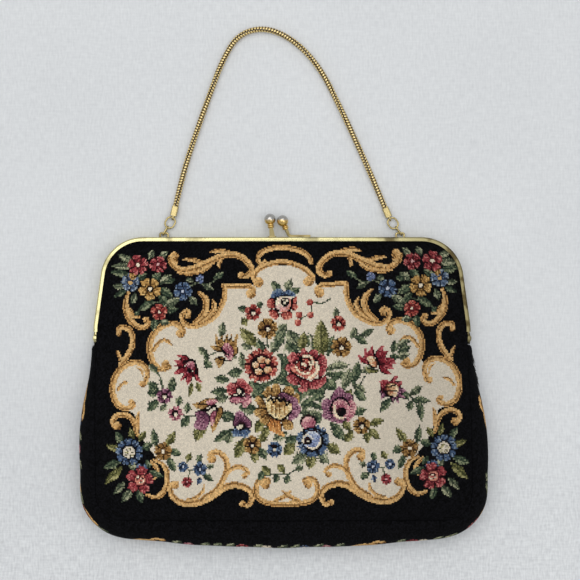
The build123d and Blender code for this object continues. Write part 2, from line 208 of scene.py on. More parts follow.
def gilt(name, bright, worn, wear_and_shade_share, polish=0.17, right_side_shade=0.0):
    """Gold-plated metal: worn patches, fine scratches and dull places.

    polish is how rough it is where it is bright; the last argument darkens its right side towards the worn
    colour, a painted shade.
    """
    finish = Finish(name, {"Metallic": 1.0})
    at = finish.place()
    # Painted shade: the right side is darkened towards the worn colour, as if it lay in shadow; the noise
    # patches are wear.
    right = finish.parts(at)["X"].between(0.02, 0.1)
    patches = finish.noise(at, 90, 4).between(0.48, 0.68) + right_side_shade * right
    dull = finish.noise(at, 900, 2)
    finish.feed(base_color=finish.mix(patches * wear_and_shade_share, bright, worn),
                roughness=polish + 0.16 * patches + 0.12 * dull)
    scratches = finish.grain(at, (60, 900, 900), 4)
    finish.bump(scratches + 0.5 * dull, 0.12, 0.0001)
    return finish


def chain_gold():
    """Chain links: painted light and shade, light on their crowns and dark brown down between them, where
    shade falls.
    """
    finish = Finish("chain links gilding", {"Metallic": 1.0})
    crown = finish.node("ShaderNodeAttribute", {"attribute_name": "crown"})["Fac"].between(-0.3, 0.75)
    # Painted shade between the links and painted light on their crowns, driven by the crown attribute.
    finish.feed(base_color=finish.mix(crown, tone(90, 58, 24), tone(240, 216, 154)),
                roughness=0.3 - 0.16 * crown + 0.1 * finish.noise(finish.place(), 1500, 2))
    return finish


def worn_ball():
    """Clasp balls: the gilding has gone from their tops and shows the white metal."""
    finish = Finish("worn clasp gilding", {"Metallic": 1.0})
    at = finish.place()
    ragged = finish.noise(at, 700, 3)
    bare = (finish.parts(at)["Y"] + 0.0022 * ragged).between(0.0905, 0.0922)
    colour = finish.mix(bare, tone(212, 180, 112), tone(178, 176, 172))
    finish.feed(base_color=colour, roughness=0.14 + 0.18 * finish.noise(at, 1200, 2))
    return finish


def stitched(name):
    """Tapestry thread: each stitch has its own colour, and rises in the middle."""
    finish = Finish(name, {"Roughness": 0.9, "Specular IOR Level": 0.06})
    thread = finish.node("ShaderNodeAttribute", {"attribute_name": "thread"})["Color"]
    uneven = finish.noise(finish.place(), 2600, 2)
    shades = {"stops": [(0.3, (0.45, 0.45, 0.45)), (0.7, (1.35, 1.33, 1.3))]}
    streaks = finish.node("ShaderNodeValToRGB", shades, {0: uneven})["Color"]
    finish.feed(base_color=finish.mix(0.45, thread, finish.mix(1.0, thread, streaks, "MULTIPLY")))
    parts = finish.parts(finish.node("ShaderNodeUVMap", {"uv_map": "stitches"})["UV"])
    across = (math.pi * parts["X"]).sine().size()
    along = (math.pi * (parts["Y"] + 0.35 * parts["X"])).sine().size()
    finish.bump(across * along + 0.35 * uneven, 0.7, 0.00022)
    return finish


def satin():
    """Lining: a smooth satin with a soft shine along its threads."""
    shine = {"Sheen Weight": 0.25, "Sheen Roughness": 0.35, "Specular IOR Level": 0.45}
    finish = Finish("lining satin", shine)
    at = finish.place()
    slub = finish.grain(at, (40, 900, 900), 3)
    cloud = finish.noise(at, 45, 3)
    finish.feed(base_color=finish.mix(0.6 * slub + 0.4 * cloud, tone(150, 131, 104), tone(196, 178, 148)),
                roughness=0.34 + 0.2 * cloud)
    finish.bump(slub, 0.25, 0.0001)
    return finish


# The tapestry's drawing. Thread colours are (dark, middle, light), as seen.
GOLD = ((118, 84, 46), (200, 154, 96), (226, 184, 124))
RED = ((88, 30, 35), (152, 64, 68), (206, 126, 120))
CRIMSON = ((80, 24, 32), (134, 44, 52), (188, 100, 102))
CORAL = ((104, 36, 36), (164, 74, 66), (212, 138, 118))
BLUE = ((38, 47, 66), (74, 94, 124), (130, 146, 164))
PURPLE = ((72, 40, 58), (124, 77, 98), (176, 130, 144))
PINK = ((128, 62, 78), (178, 110, 122), (216, 168, 164))
OCHRE = ((86, 60, 34), (150, 112, 64), (200, 163, 106))
AMBER = ((112, 80, 42), (184, 142, 82), (222, 184, 120))
SKY = ((54, 64, 84), (100, 118, 142), (166, 176, 182))
PEACH = ((178, 116, 84), (216, 172, 130), (234, 210, 176))
STRAW = ((150, 112, 66), (212, 180, 126), (236, 216, 170))
ORANGE = ((116, 68, 36), (186, 124, 68), (220, 168, 106))
LEAF = ((44, 56, 44), (84, 97, 74), (140, 146, 114))
GREY_LEAF = ((58, 66, 52), (114, 121, 95), (174, 174, 142))
OLIVE = ((66, 68, 40), (120, 118, 72), (168, 162, 112))
NIGHT = ((16, 12, 14), (16, 12, 14), (40, 22, 24))
BLACK = (9, 9, 11)
CREAM = (218, 207, 188)
PALE = (236, 222, 196)

# The drawing's line of symmetry: the sum of the places of a pair, at a height, and its tilt
MIRROR_SUM, MIRROR_HEIGHT, MIRROR_TILT = 570.6, 280, 0.0135


def smooth_line(points, step=0.5):
    """A smooth line through points, as close points along it."""
    p = np.array(points, float)
    p = np.vstack([2 * p[0] - p[1], p, 2 * p[-1] - p[-2]])
    pieces = []
    for a, b, c, d in zip(p, p[1:], p[2:], p[3:]):
        count = max(2, int(np.hypot(*(c - b)) / step))
        t = np.linspace(0, 1, count, endpoint=False)[:, None]
        pieces.append((2 * b + (c - a) * t + (2 * a - 5 * b + 4 * c - d) * t**2
                       + (3 * b - a - 3 * c + d) * t**3) / 2)
    pieces.append(p[-2:-1])
    return np.vstack(pieces)


class Stitching:
    """Coloured stitches at the places u, v of a drawing, one number of each per stitch."""

    def __init__(self, u, v):
        self.u, self.v = u, v
        self.chance = np.random.default_rng(7).random(len(u))
        self.rgb = np.outer(0.2 + 1.7 * self.chance, BLACK)

    def mirrored(self):
        """The same stitches, for drawing the right half with the left half's places."""
        other = Stitching(MIRROR_SUM + MIRROR_TILT * (self.v - MIRROR_HEIGHT) - self.u, self.v)
        other.v = self.v + MIRROR_TILT * (self.u - other.u)
        other.rgb = self.rgb
        return other

    def within(self, points, margin):
        """The numbers of the stitches in the box round some points."""
        p = np.array(points, float)
        low, high = p.min(0) - margin, p.max(0) + margin
        hit = (self.u > low[0]) & (self.u < high[0]) & (self.v > low[1]) & (self.v < high[1])
        return np.flatnonzero(hit)

    def inside(self, outline):
        """The numbers of the stitches in a closed outline."""
        p = np.array(outline, float)
        at = self.within(p, 1)
        u, v = self.u[at], self.v[at]
        hit = np.zeros(len(at), bool)
        for a, b in zip(p, np.roll(p, -1, 0)):
            if a[1] != b[1]:
                edge = (b[0] - a[0]) * (v - a[1]) / (b[1] - a[1]) + a[0]
                hit ^= ((a[1] > v) != (b[1] > v)) & (u < edge)
        return at[hit]

    def field(self, outline, colour):
        """Fill a closed outline."""
        at = self.inside(outline)
        self.rgb[at] = np.outer(0.95 + 0.09 * self.chance[at], colour)

    def along(self, line, reach):
        """Stitches within reach of a line: their numbers, place along it and signed distance."""
        at = self.within(line, reach)
        du = self.u[at][:, None] - line[None, :, 0]
        dv = self.v[at][:, None] - line[None, :, 1]
        far = du**2 + dv**2
        nearest = far.argmin(1)
        every = np.arange(len(at))
        tangent = np.gradient(line, axis=0)[nearest]
        side = np.sign(tangent[:, 0] * dv[every, nearest] - tangent[:, 1] * du[every, nearest])
        return at, nearest / (len(line) - 1), side * np.sqrt(far[every, nearest])

    def sew(self, at, colours, level, loose=1.3):
        """Colour stitches by a level: dark at 0, middle at 1 and light at 2.

        loose is how far the level strays at random.
        """
        number = np.clip(np.rint(level + loose * (self.chance[at] - 0.5)), 0, 2).astype(int)
        self.rgb[at] = np.array(colours, float)[number] * (0.82 + 0.26 * self.chance[at[::-1]])[:, None]

    def scroll(self, points, width, start=1.0, end=1.0, dark=1, knob=0):
        """A gold scroll that is shaded on one side; knob is the radius of the ball at its far end."""
        line = smooth_line(points)
        at, t, off = self.along(line, 1.2 * width)
        half = 0.56 * width * np.interp(t, (0, 0.25, 0.75, 1), (start, 1, 1, end))
        inside = np.abs(off) < half
        shade = dark * off[inside] / half[inside]
        line_inside = (shade > 0.3) & (shade < 0.62)
        comb = (t[inside] * len(line) / 5 % 1 < 0.4) & (shade > 0.05)
        self.sew(at[inside], GOLD, 1.7 - 0.5 * (shade > 0) - 1.2 * line_inside - 0.5 * comb, 0.7)
        if knob:
            self.ball(points[-1], knob)

    def ball(self, centre, radius):
        """The gold ball at the end of a scroll."""
        at = self.within([centre], radius + 1)
        du, dv = self.u[at] - centre[0], self.v[at] - centre[1]
        inside = np.hypot(du, dv) < 1.06 * radius
        self.sew(at[inside], GOLD, 1.2 - 0.8 * ((du + dv) / radius)[inside])

    def twig(self, points, colours=GREY_LEAF, width=1.5):
        """A thin line in the darker threads of its colours."""
        at, _, off = self.along(smooth_line(points), width)
        inside = np.abs(off) < width / 2
        self.sew(at[inside], colours, np.full(inside.sum(), 0.5))

    def leaf(self, base, tip, width, colours=LEAF):
        """A pointed leaf with a lighter half, a darker half and notched edges."""
        length = math.hypot(tip[0] - base[0], tip[1] - base[1])
        at, t, off = self.along(smooth_line([base, tip]), width)
        notch = 1 - 0.34 * ((t * length / 2.6) % 1)
        half = 0.78 * width * np.sin(np.pi * np.clip(t, 0.03, 0.98) ** 0.75) ** 0.75 * notch
        inside = np.abs(off) < half
        at, off, t, half = at[inside], off[inside], t[inside], half[inside]
        hatch = 0.8 * ((t * length + np.abs(off)) / 2.2 % 1 < 0.5)
        level = np.where(off < 0, 1.9, 1.0) - hatch - 0.5 * (t < 0.25)
        level[(np.abs(off) < 0.55) & (t < 0.85)] = 0
        level[off > half - 1.0] = 0
        self.sew(at, colours, level)

    def flower(self, centre, radius, colours, petals, turn, eye, ring, core, frill=0.16):
        """An open flower: light petal edges, dark gaps, a dark throat and a pale eye."""
        at = self.within([centre], radius * 1.1)
        du, dv = self.u[at] - centre[0], self.v[at] - centre[1]
        rho, theta = np.hypot(du, dv), np.arctan2(dv, du) - turn
        share = (theta / (2 * np.pi) * petals) % 1 * 2 - 1
        edge = radius * (1.03 - frill * np.abs(share) ** 2 - 0.1 * np.exp(-((share / 0.2) ** 2))
                         - 0.1 * self.chance[at])
        inside = rho < edge
        at, rho, share, edge = at[inside], rho[inside], share[inside], edge[inside]
        depth = rho / edge
        streaks = 0.6 * (np.abs(share) * radius * 3.2 / petals % 1 < 0.5)
        level = 0.4 + 1.8 * np.clip(depth - 0.25, 0, 1) - streaks
        self.sew(at, colours, level)
        self.rgb[at[(np.abs(share) > 0.8) & (depth > 0.3)]] = np.multiply(colours[0], 0.45)
        self.rgb[at[rho < radius * (core + 0.1)]] = ring
        self.rgb[at[rho < radius * core]] = eye

    def petal(self, outline, colours, heart):
        """A petal in a smooth outline: dark towards the flower's heart and light at its far edge."""
        line = smooth_line([*outline, outline[0]])
        near, _, off = self.along(line, 1)
        edge = np.full(len(self.u), 9.0)
        edge[near] = np.abs(off)
        at = self.inside(line)
        du, dv = self.u[at] - heart[0], self.v[at] - heart[1]
        far = np.hypot(du, dv)
        share = (far - far.min()) / (np.ptp(far) + 0.1)
        streaks = 0.8 * (np.arctan2(dv, du) * far.mean() / 2.6 % 1 < 0.5)
        self.sew(at, colours, 0.4 + 2.0 * share - streaks)
        contour = at[(edge[at] < 0.95) & (share < 0.72)]
        self.rgb[contour] = np.multiply(colours[0], 0.5)

    def bead(self, centre, across, down, colours):
        """An oval patch that is lighter at its upper left."""
        at = self.within([centre], max(across, down))
        du, dv = (self.u[at] - centre[0]) / across, (self.v[at] - centre[1]) / down
        inside = np.hypot(du, dv) < 1
        self.sew(at[inside], colours, 1.1 - 0.8 * (du + dv)[inside])


# The cream field, from the middle of its top down its left side to the middle of its bottom
FIELD = (
    (300, 266), (285, 265), (272, 266), (261, 270), (255, 276), (255, 285), (240, 286), (224, 286),
    (224, 300), (217, 315), (207, 323), (194, 327), (181, 326), (167, 325), (156, 330), (150, 339),
    (149, 351), (152, 362), (147, 368), (139, 363), (129, 364), (120, 370), (114, 380), (113, 392),
    (115, 401), (120, 407), (128, 410), (134, 414), (138, 424), (141, 436), (148, 447), (158, 460),
    (165, 468), (168, 480), (170, 492), (176, 500), (188, 504), (200, 502), (212, 496), (222, 489),
    (232, 485), (244, 487), (253, 494), (258, 498), (266, 503), (286, 505), (300, 505),
)

# Gold scrolls of one half: points, width, share of it at the start and the end, shaded side, end knob
SCROLLS = (
    # leafy scroll along the top
    ([(183, 259.5), (193, 260), (203, 263), (213, 262)], 4.2, 0.2, 0.9, -1),
    ([(209, 253), (217, 251), (226, 252), (234, 256)], 4.2, 0.1, 0.8, -1),
    ([(178, 273), (190, 273.5), (202, 271), (210, 266)], 3.6, 0.3, 0.9),
    ([(220, 268), (219, 264), (221, 260)], 3.0, 0.2, 1),
    ([(170, 258), (173, 264.5), (181, 269.5), (196, 267.5), (210, 261), (222, 256), (233, 254.5),
      (243, 258), (250.5, 266), (251.4, 272.5), (246, 276)], 5.4, 0.9, 0.9),
    ([(250, 273), (246, 276.5), (241, 275)], 4.4, 1, 1, 1, 3.0),
    ([(176, 262), (172, 260), (174, 256.5)], 3.4, 1, 1, 1, 4.2),
    # corner bar and its curl
    ([(224, 285.6), (238, 285.6), (249, 286)], 4.6),
    ([(249, 286), (254.5, 289.5), (251, 293.5)], 3.6, 1, 1, 1, 4.8),
    # leaf scroll below the bar
    ([(198.5, 292), (205, 298), (206.5, 306), (203, 315), (195, 323)], 5.6, 0.4, 0.8),
    ([(212, 299), (214.5, 306), (210, 314), (201, 322)], 4.4, 0.3, 0.9),
    ([(224.3, 285.5), (224.8, 294), (222.5, 304), (215.5, 315.5), (205, 323), (193, 326.5), (184.5, 323),
      (181.6, 316), (184.5, 311.5)], 4.8, 0.9, 0.8),
    ([(182.5, 313), (186.5, 310.5), (189.5, 313), (188, 315.8)], 3.4, 1, 1, 1, 2.8),
    # C scroll on the side of the field
    ([(183, 331), (179.5, 325.8), (170, 323.5), (159, 328.5), (151.6, 338), (149.6, 349), (152, 360),
      (157.5, 367.5), (164.5, 369.5)], 5.6, 0.9, 0.9),
    ([(163, 370), (169.5, 367.5), (165.6, 364)], 3.4, 1, 1, 1, 3.8),
    ([(182, 330), (180.6, 333.2)], 3.0, 1, 1, 1, 4.4),
    ([(172.5, 345.5), (166, 340.5), (159.5, 342), (153.5, 350)], 3.6, 0.3, 1),
    # hook below the corner flowers
    ([(128.5, 293), (125.8, 303), (127.2, 315), (133.5, 323.6), (142, 327.6), (148, 324.5)], 5.2, 0.5, 0.9),
    ([(146, 326.5), (149, 322), (146, 319.6)], 3.4, 1, 1, 1, 2.9),
    ([(128.6, 307), (132.5, 315), (139.5, 317.2)], 4.2, 0.4, 0.5, -1),
    # S scroll at the edge
    ([(120.5, 364), (126, 357.5), (131, 349), (132.8, 339), (130, 330.5), (124, 327.4), (119, 328.8),
      (119, 333)], 5.0, 0.8, 0.9, 1, 2.7),
    ([(116.5, 350.5), (119, 355), (121, 361)], 3.0, 0.3, 1),
    # long C scroll down the side
    ([(146, 379), (147.6, 374), (145.5, 367.5), (139, 363), (130, 363.3), (120.6, 369), (114.3, 379),
      (112.6, 390), (114.4, 399), (118.5, 405.2), (125.5, 408.4), (132.5, 406.5)], 5.4, 0.9, 0.9),
    ([(147, 378), (146, 383), (142.6, 383.8)], 3.8, 1, 1, 1, 3.4),
    ([(131, 407.5), (134.5, 403.5), (131.4, 401.8)], 3.2, 1, 1, 1, 2.9),
    ([(129, 382), (123, 383.5), (118, 389)], 3.0, 0.3, 1),
    ([(137, 367.5), (142, 371), (143, 377)], 2.4, 0.6, 0.4),
    # curl over the bottom corner flowers
    ([(140.5, 440), (137, 433), (134.6, 423.5), (129, 416.4), (120.5, 414.6), (114, 418), (113.4, 424),
      (117, 425.8)], 4.8, 0.4, 0.9, -1, 4.0),
    ([(139.5, 411), (137.5, 418), (137.8, 428)], 3.2, 0.2, 1, -1),
    # hook beside the bottom corner flowers
    ([(154, 459.5), (162.5, 464), (167.4, 473), (166.8, 484), (163, 492.5), (156, 497.4), (147.5, 495)],
     4.6, 0.5, 0.6, -1),
    ([(150.5, 461), (156.5, 468), (157.8, 474.5), (154.5, 478.5)], 3.6, 0.4, 0.5),
    # U scroll along the bottom
    ([(171.2, 484), (170.4, 491), (175, 499), (184.5, 503.4), (196.5, 502.8), (208, 498.5),
      (217.5, 492.4), (226, 486.8), (236, 485), (246.5, 488), (252.4, 495), (250.6, 502)],
     6.0, 0.7, 0.8, -1),
    ([(172, 486), (175.2, 484.8)], 3.0, 1, 1, 1, 4.0),
    ([(252, 499), (248.5, 505), (242.5, 503.8)], 4.2, 1, 1, 1, 2.8),
    ([(204, 485), (203, 491), (196.5, 497.5), (188, 500)], 3.6, 0.3, 0.8),
    ([(204, 498), (215.5, 490.5), (223, 480), (227, 468), (225, 458), (217.5, 452.2), (210.5, 453.8),
      (211.8, 458.8)], 5.4, 0.9, 0.9, -1, 4.2),
    ([(223, 477.5), (230, 469.8), (239, 466.8), (246, 469.5)], 4.4, 0.8, 0.9, -1),
    ([(244.5, 468.5), (248.4, 472.5), (244.5, 475.6)], 3.0, 1, 1, 1, 2.8),
    # bottom middle
    ([(289, 504), (275, 503.8), (263.5, 501.4), (256.8, 495), (256.6, 485), (262, 479), (269, 481),
      (265.2, 484.8)], 5.0, 1, 0.8, -1, 4.2),
    ([(275, 500.5), (284, 496.5), (291, 491)], 4.0, 0.8, 0.3),
)

# The two arches over the middle of the field
ARCHES = (
    ([(264.5, 261.5), (261.5, 264.5), (257.8, 258.6), (261.5, 252.6), (270, 248.8), (281, 247.4),
      (291.5, 248.4), (301.5, 251.4), (309, 257), (311.2, 262.5)], 4.6, 0.7, 0.9, -1),
    ([(308.6, 281.4), (312.4, 279), (311, 274.6), (303, 268), (292, 263.6), (283, 262), (272, 263.4),
      (261, 267.6), (254.4, 274.5), (255, 280), (258.4, 282.4)], 4.8, 1, 1, -1, 5.0),
    ([(311, 279), (308.6, 281.4)], 3.0, 1, 1, 1, 5.0),
)

# Leaves: base, tip, width, colours
CORNER_LEAVES = (
    ((133, 262), (118, 254), 6.5, GREY_LEAF), ((132, 266), (112, 266), 7.5, GREY_LEAF),
    ((128, 274), (111, 272), 7.0, LEAF), ((150, 258), (153, 250), 6.5, GREY_LEAF),
    ((160, 258), (168, 251), 6.0, GREY_LEAF), ((124, 287), (113, 286), 5.5, GREY_LEAF),
    ((125, 291), (114, 297), 5.5, LEAF), ((137, 279), (147, 274), 6.5, LEAF),
    ((153, 280), (161, 272), 7.5, LEAF), ((161, 283), (171, 275), 7.5, GREY_LEAF),
    ((161, 289), (173, 297), 8.0, LEAF), ((160, 297), (168, 306), 7.5, LEAF),
    ((135, 294), (132, 304), 6.0, GREY_LEAF), ((152, 301), (138, 311), 7.0, LEAF),
    ((166, 306), (180, 298), 7.5, GREY_LEAF), ((166, 311), (178, 309), 7.0, LEAF),
    ((190, 297), (197, 305), 6.5, GREY_LEAF), ((155, 319), (153, 331), 6.5, LEAF),
    ((160, 322), (170, 323), 5.5, GREY_LEAF), ((174, 280), (166, 283), 5.0, LEAF),
    ((193, 281), (186, 279), 5.0, GREY_LEAF), ((215, 278), (224, 273), 6.0, LEAF),
    ((203, 284), (214, 290), 5.5, GREY_LEAF), ((139, 312), (134, 316), 4.5, LEAF),
    # bottom corner
    ((122, 443), (116, 432), 6.5, LEAF), ((120, 450), (106, 445), 6.5, OLIVE),
    ((133, 438), (130, 428), 6.0, OLIVE), ((140, 440), (146, 431), 6.5, OLIVE),
    ((143, 448), (153, 444), 8.0, LEAF), ((119, 462), (103, 468), 7.5, LEAF),
    ((121, 468), (105, 484), 8.0, OLIVE), ((124, 483), (114, 494), 6.5, GREY_LEAF),
    ((131, 490), (122, 502), 7.0, GREY_LEAF), ((138, 491), (142, 503), 7.0, LEAF),
    ((156, 446), (153, 429), 7.5, LEAF), ((167, 445), (176, 431), 8.0, OLIVE),
    ((170, 450), (181, 455), 8.0, LEAF), ((168, 458), (175, 472), 7.5, LEAF),
    ((150, 472), (163, 477), 6.5, LEAF), ((187, 461), (191, 453), 6.0, OLIVE),
    ((198, 462), (201, 454), 6.5, LEAF), ((207, 467), (214, 466), 6.0, GREY_LEAF),
    ((204, 475), (213, 481), 7.0, LEAF), ((200, 478), (198, 485), 5.0, BLUE),
    ((146, 461), (150, 468), 6.0, LEAF), ((130, 462), (135, 472), 7.0, GREY_LEAF),
)
CORNER_TWIGS = (
    [(190, 286), (197, 283), (208, 284), (219, 277)], [(158, 302), (146, 305), (138, 312)],
    [(183, 468), (190, 471), (187, 479)], [(190, 470), (196, 469)],
)
# Flowers: centre, radius, colours, petals, turn, eye, ring, share of the eye, frill
CORNER_FLOWERS = (
    ((200, 279), 4.6, ((70, 80, 110), (104, 116, 150), (150, 160, 186)), 3, 0, BLUE[2], BLUE[1], 0.2),
    ((130.5, 282.5), 9.6, SKY, 5, 0.4, OCHRE[2], BLUE[0], 0.2),
    ((133, 276), 4.0, AMBER, 3, 0.2, OCHRE[2], OCHRE[1], 0.2),
    ((138, 265), 10.6, RED, 5, 0.2, PALE, RED[0], 0.17),
    ((158, 264.5), 9.0, RED, 5, 0.7, PINK[2], RED[0], 0.17),
    ((150, 289), 11.8, AMBER, 5, -0.3, PALE, BLACK, 0.17, 0.24),
    ((183, 291), 9.6, BLUE, 5, 0.9, (190, 196, 210), BLUE[0], 0.16),
    ((159, 312), 8.6, CORAL, 5, 0.3, PALE, RED[0], 0.16),
    # bottom corner
    ((129, 452), 14.0, BLUE, 9, 0.1, CREAM, BLACK, 0.42, 0.14),
    ((129.5, 452.5), 5.6, (OLIVE[2], CREAM, PALE), 5, 0, PALE, CREAM, 0.2),
    ((141, 470), 7.0, BLUE, 4, 0.3, BLUE[1], BLUE[0], 0.2),
    ((140, 480), 14.6, RED, 5, 0.5, CORAL[2], RED[0], 0.34, 0.3),
    ((140.5, 479), 4.6, (RED[0], CORAL[2], PALE), 4, 0, PALE, RED[1], 0.2),
    ((163, 451.5), 9.6, OCHRE, 5, 0.2, PALE, OCHRE[0], 0.18),
    ((183, 467), 5.6, BLUE, 5, 0.4, (200, 204, 214), BLUE[0], 0.2),
    ((200, 469), 7.4, BLUE, 5, 0.2, (200, 204, 214), BLUE[0], 0.16),
    ((187, 482), 5.8, RED, 4, 0.4, PINK[2], RED[0], 0.18),
)

BOUQUET_LEAVES = (
    # over the anemone and round the small flowers above
    ((279, 291), (272, 281), 7.0, LEAF), ((287, 290), (291, 279), 7.0, GREY_LEAF),
    ((290, 294), (300, 288), 6.0, LEAF), ((247, 309), (238, 308), 5.5, LEAF),
    ((257, 306), (263, 303), 5.0, LEAF), ((247, 320), (241, 324), 7.0, OLIVE),
    # tulip and lily on the left
    ((221, 336), (223, 322), 6.5, GREY_LEAF), ((207, 355), (198, 347), 5.5, GREY_LEAF),
    ((205, 362), (212, 368), 6.5, LEAF), ((236, 357), (226, 355), 5.0, GREY_LEAF),
    ((243.6, 368.5), (241, 351.7), 6.0, GREY_LEAF), ((192, 384), (189, 396), 4.6, OLIVE),
    ((197, 383), (200, 392), 4.6, OLIVE), ((208, 360), (204, 353), 5.0, LEAF),
    ((240.9, 371.3), (228, 374), 8.0, LEAF),
    # over the coral flower and the rose
    ((256, 345), (240, 328), 9.5, OLIVE), ((251, 348.5), (241, 344.5), 5.5, GREY_LEAF),
    ((263, 352), (258, 339), 7.5, LEAF), ((272, 352), (279, 339), 8.0, GREY_LEAF),
    ((276, 335), (287, 324), 8.0, GREY_LEAF), ((276, 345), (286, 331), 9.0, LEAF),
    ((299.6, 348), (287, 330), 11.5, GREY_LEAF), ((297, 353), (286, 342), 8.0, LEAF),
    ((314.5, 350), (308, 333), 7.0, LEAF), ((302, 349), (304, 332), 8.0, OLIVE),
    ((328, 354), (333.5, 336), 7.5, LEAF), ((321.5, 355), (321, 320), 13.0, OLIVE),
    # right of the rose
    ((328, 369.5), (349, 364.5), 9.5, GREY_LEAF), ((328, 374), (347, 374.5), 8.5, LEAF),
    ((326.5, 380), (336, 390.5), 9.0, LEAF), ((344, 388), (349.5, 369), 8.0, GREY_LEAF),
    ((353.5, 382), (358.5, 361.5), 8.0, LEAF), ((353.5, 385), (366, 392), 7.0, GREY_LEAF),
    ((362, 372), (376, 367), 6.5, GREY_LEAF), ((351, 391), (346, 399), 6.5, OLIVE),
    ((356, 392), (366, 401), 6.5, LEAF), ((352, 337), (356, 327), 6.5, GREY_LEAF),
    ((361, 336), (374, 329), 6.0, GREY_LEAF), ((357, 338), (367, 344), 6.0, LEAF),
    ((336, 318), (336, 307), 5.0, GREY_LEAF), ((395, 342), (393, 353), 6.0, LEAF),
    ((398, 346), (408, 340), 7.0, GREY_LEAF), ((399, 352), (411, 346), 6.5, LEAF),
    ((397, 357), (410, 354), 6.0, GREY_LEAF), ((391, 356), (398, 358), 5.5, LEAF),
    # between the flowers
    ((262, 397), (251, 381), 9.0, LEAF), ((226, 391), (211, 392), 7.5, LEAF),
    ((227, 397), (214, 400), 7.0, GREY_LEAF), ((228, 380), (214, 378), 7.5, LEAF),
    ((301.5, 403), (313.5, 389.5), 9.5, LEAF), ((305, 405), (324, 396), 8.0, LEAF),
    ((301.5, 412), (321, 413.5), 8.5, GREY_LEAF), ((313, 402), (326, 410), 6.5, LEAF),
    ((318, 420), (303, 419), 6.5, LEAF), ((256, 409.6), (238.5, 407.5), 8.5, LEAF),
    ((234, 418), (222, 412), 7.0, LEAF), ((222, 417), (233, 420), 6.0, LEAF),
    # below
    ((233.4, 430), (226.5, 444), 7.0, GREY_LEAF), ((230, 431), (214, 442), 7.5, LEAF),
    ((243.7, 439.4), (235.5, 458.5), 9.0, OLIVE), ((255.8, 449), (254.5, 463), 8.0, OLIVE),
    ((260.4, 449), (266, 459.5), 7.5, LEAF), ((259.5, 441.3), (267, 433), 7.5, OLIVE),
    ((264, 420), (255, 432), 8.0, OLIVE), ((268, 428), (262, 438), 7.5, OLIVE),
    ((286, 433.5), (273, 440), 7.5, GREY_LEAF), ((296, 437), (285, 443.5), 8.0, LEAF),
    ((293.5, 445), (284, 455), 9.0, OLIVE), ((305.5, 454), (292, 463.5), 9.0, GREY_LEAF),
    ((312, 454), (309.5, 469), 9.0, OLIVE), ((319, 453), (328.5, 463.5), 8.0, GREY_LEAF),
    ((328, 444), (340, 454), 8.0, OLIVE), ((332, 424), (344.5, 440.5), 8.5, LEAF),
    ((343, 421), (351, 431), 6.0, OLIVE), ((353.5, 413.5), (366, 409), 7.5, LEAF),
    ((352, 432), (345, 442), 7.0, OLIVE), ((366, 432), (368, 443), 6.5, OLIVE),
    ((370, 424), (384, 420), 6.5, OLIVE), ((369, 429), (380, 439), 6.5, OLIVE),
    # sprigs out to the sides
    ((157, 390), (148, 382), 7.5, LEAF), ((157, 394), (147, 393), 6.5, LEAF),
    ((168, 391), (176, 383), 6.5, LEAF), ((157, 401), (148, 411), 8.0, LEAF),
    ((170, 386), (174, 377), 5.5, GREY_LEAF), ((166, 405), (160, 411), 5.0, GREY_LEAF),
    ((178, 405), (180, 396), 6.0, LEAF), ((187, 412), (188, 403), 6.0, LEAF),
    ((188, 418), (181, 427), 6.5, LEAF), ((200, 428), (196, 441), 8.0, OLIVE),
    ((203, 428), (204, 434), 6.0, OLIVE), ((157, 372), (149, 364), 5.5, GREY_LEAF),
    ((390, 399), (380, 412), 6.5, LEAF), ((402, 392), (409, 400), 6.0, LEAF),
    ((411, 394), (422, 386), 6.5, GREY_LEAF), ((413, 400), (430, 401), 6.5, LEAF),
    ((411, 402), (409, 411), 6.5, LEAF), ((419, 403), (422, 421), 6.0, LEAF),
    # sprigs over the bottom scroll
    ((264, 471), (258, 480), 6.0, LEAF), ((270, 474), (262, 466), 6.0, OLIVE),
    ((284, 472), (278, 464), 6.0, OLIVE), ((288, 476), (286, 484), 6.0, LEAF),
    ((277, 475), (275, 483), 6.0, LEAF), ((296, 470), (303, 466), 5.5, GREY_LEAF),
)
BOUQUET_TWIGS = (
    [(265, 476), (276, 474), (288, 474), (300, 466)], [(390, 386), (404, 391), (414, 400), (420, 412)],
    [(365, 376), (358, 388), (352, 396)], [(204, 358), (212, 354), (222, 350)], [(160, 380), (163, 390)],
    [(155, 370), (161, 379), (163, 388)], [(176, 413), (187, 416), (199, 416)],
    [(310, 302), (322, 303), (330, 299)], [(298, 321), (304, 317), (311, 312), (311, 304)],
    [(352, 338), (360, 335), (372, 329)], [(267, 336), (268, 348)], [(392, 352), (402, 347), (410, 341)],
)


# Dark foliage behind the middle of the bouquet, and the pale edges that show on it
FOLIAGE = (
    (276, 353), (286, 354), (290, 364), (288, 376), (298, 386), (312, 388), (326, 384), (324, 396),
    (318, 408), (322, 416), (318, 424), (304, 418), (300, 400), (290, 388), (276, 384), (266, 388),
    (258, 398), (252, 396), (249, 382), (262, 383), (278, 376), (281, 364),
)
PALE_EDGES = (
    [(285.5, 338), (285, 348), (283.5, 355)], [(309, 334), (311, 342), (310, 348)],
    [(300, 404), (305, 398), (311, 396)], [(308, 409), (316, 409.5), (323, 413)],
    [(314, 401), (320, 403.5), (325, 407)], [(328, 371.5), (338, 370.5), (347, 369)],
)

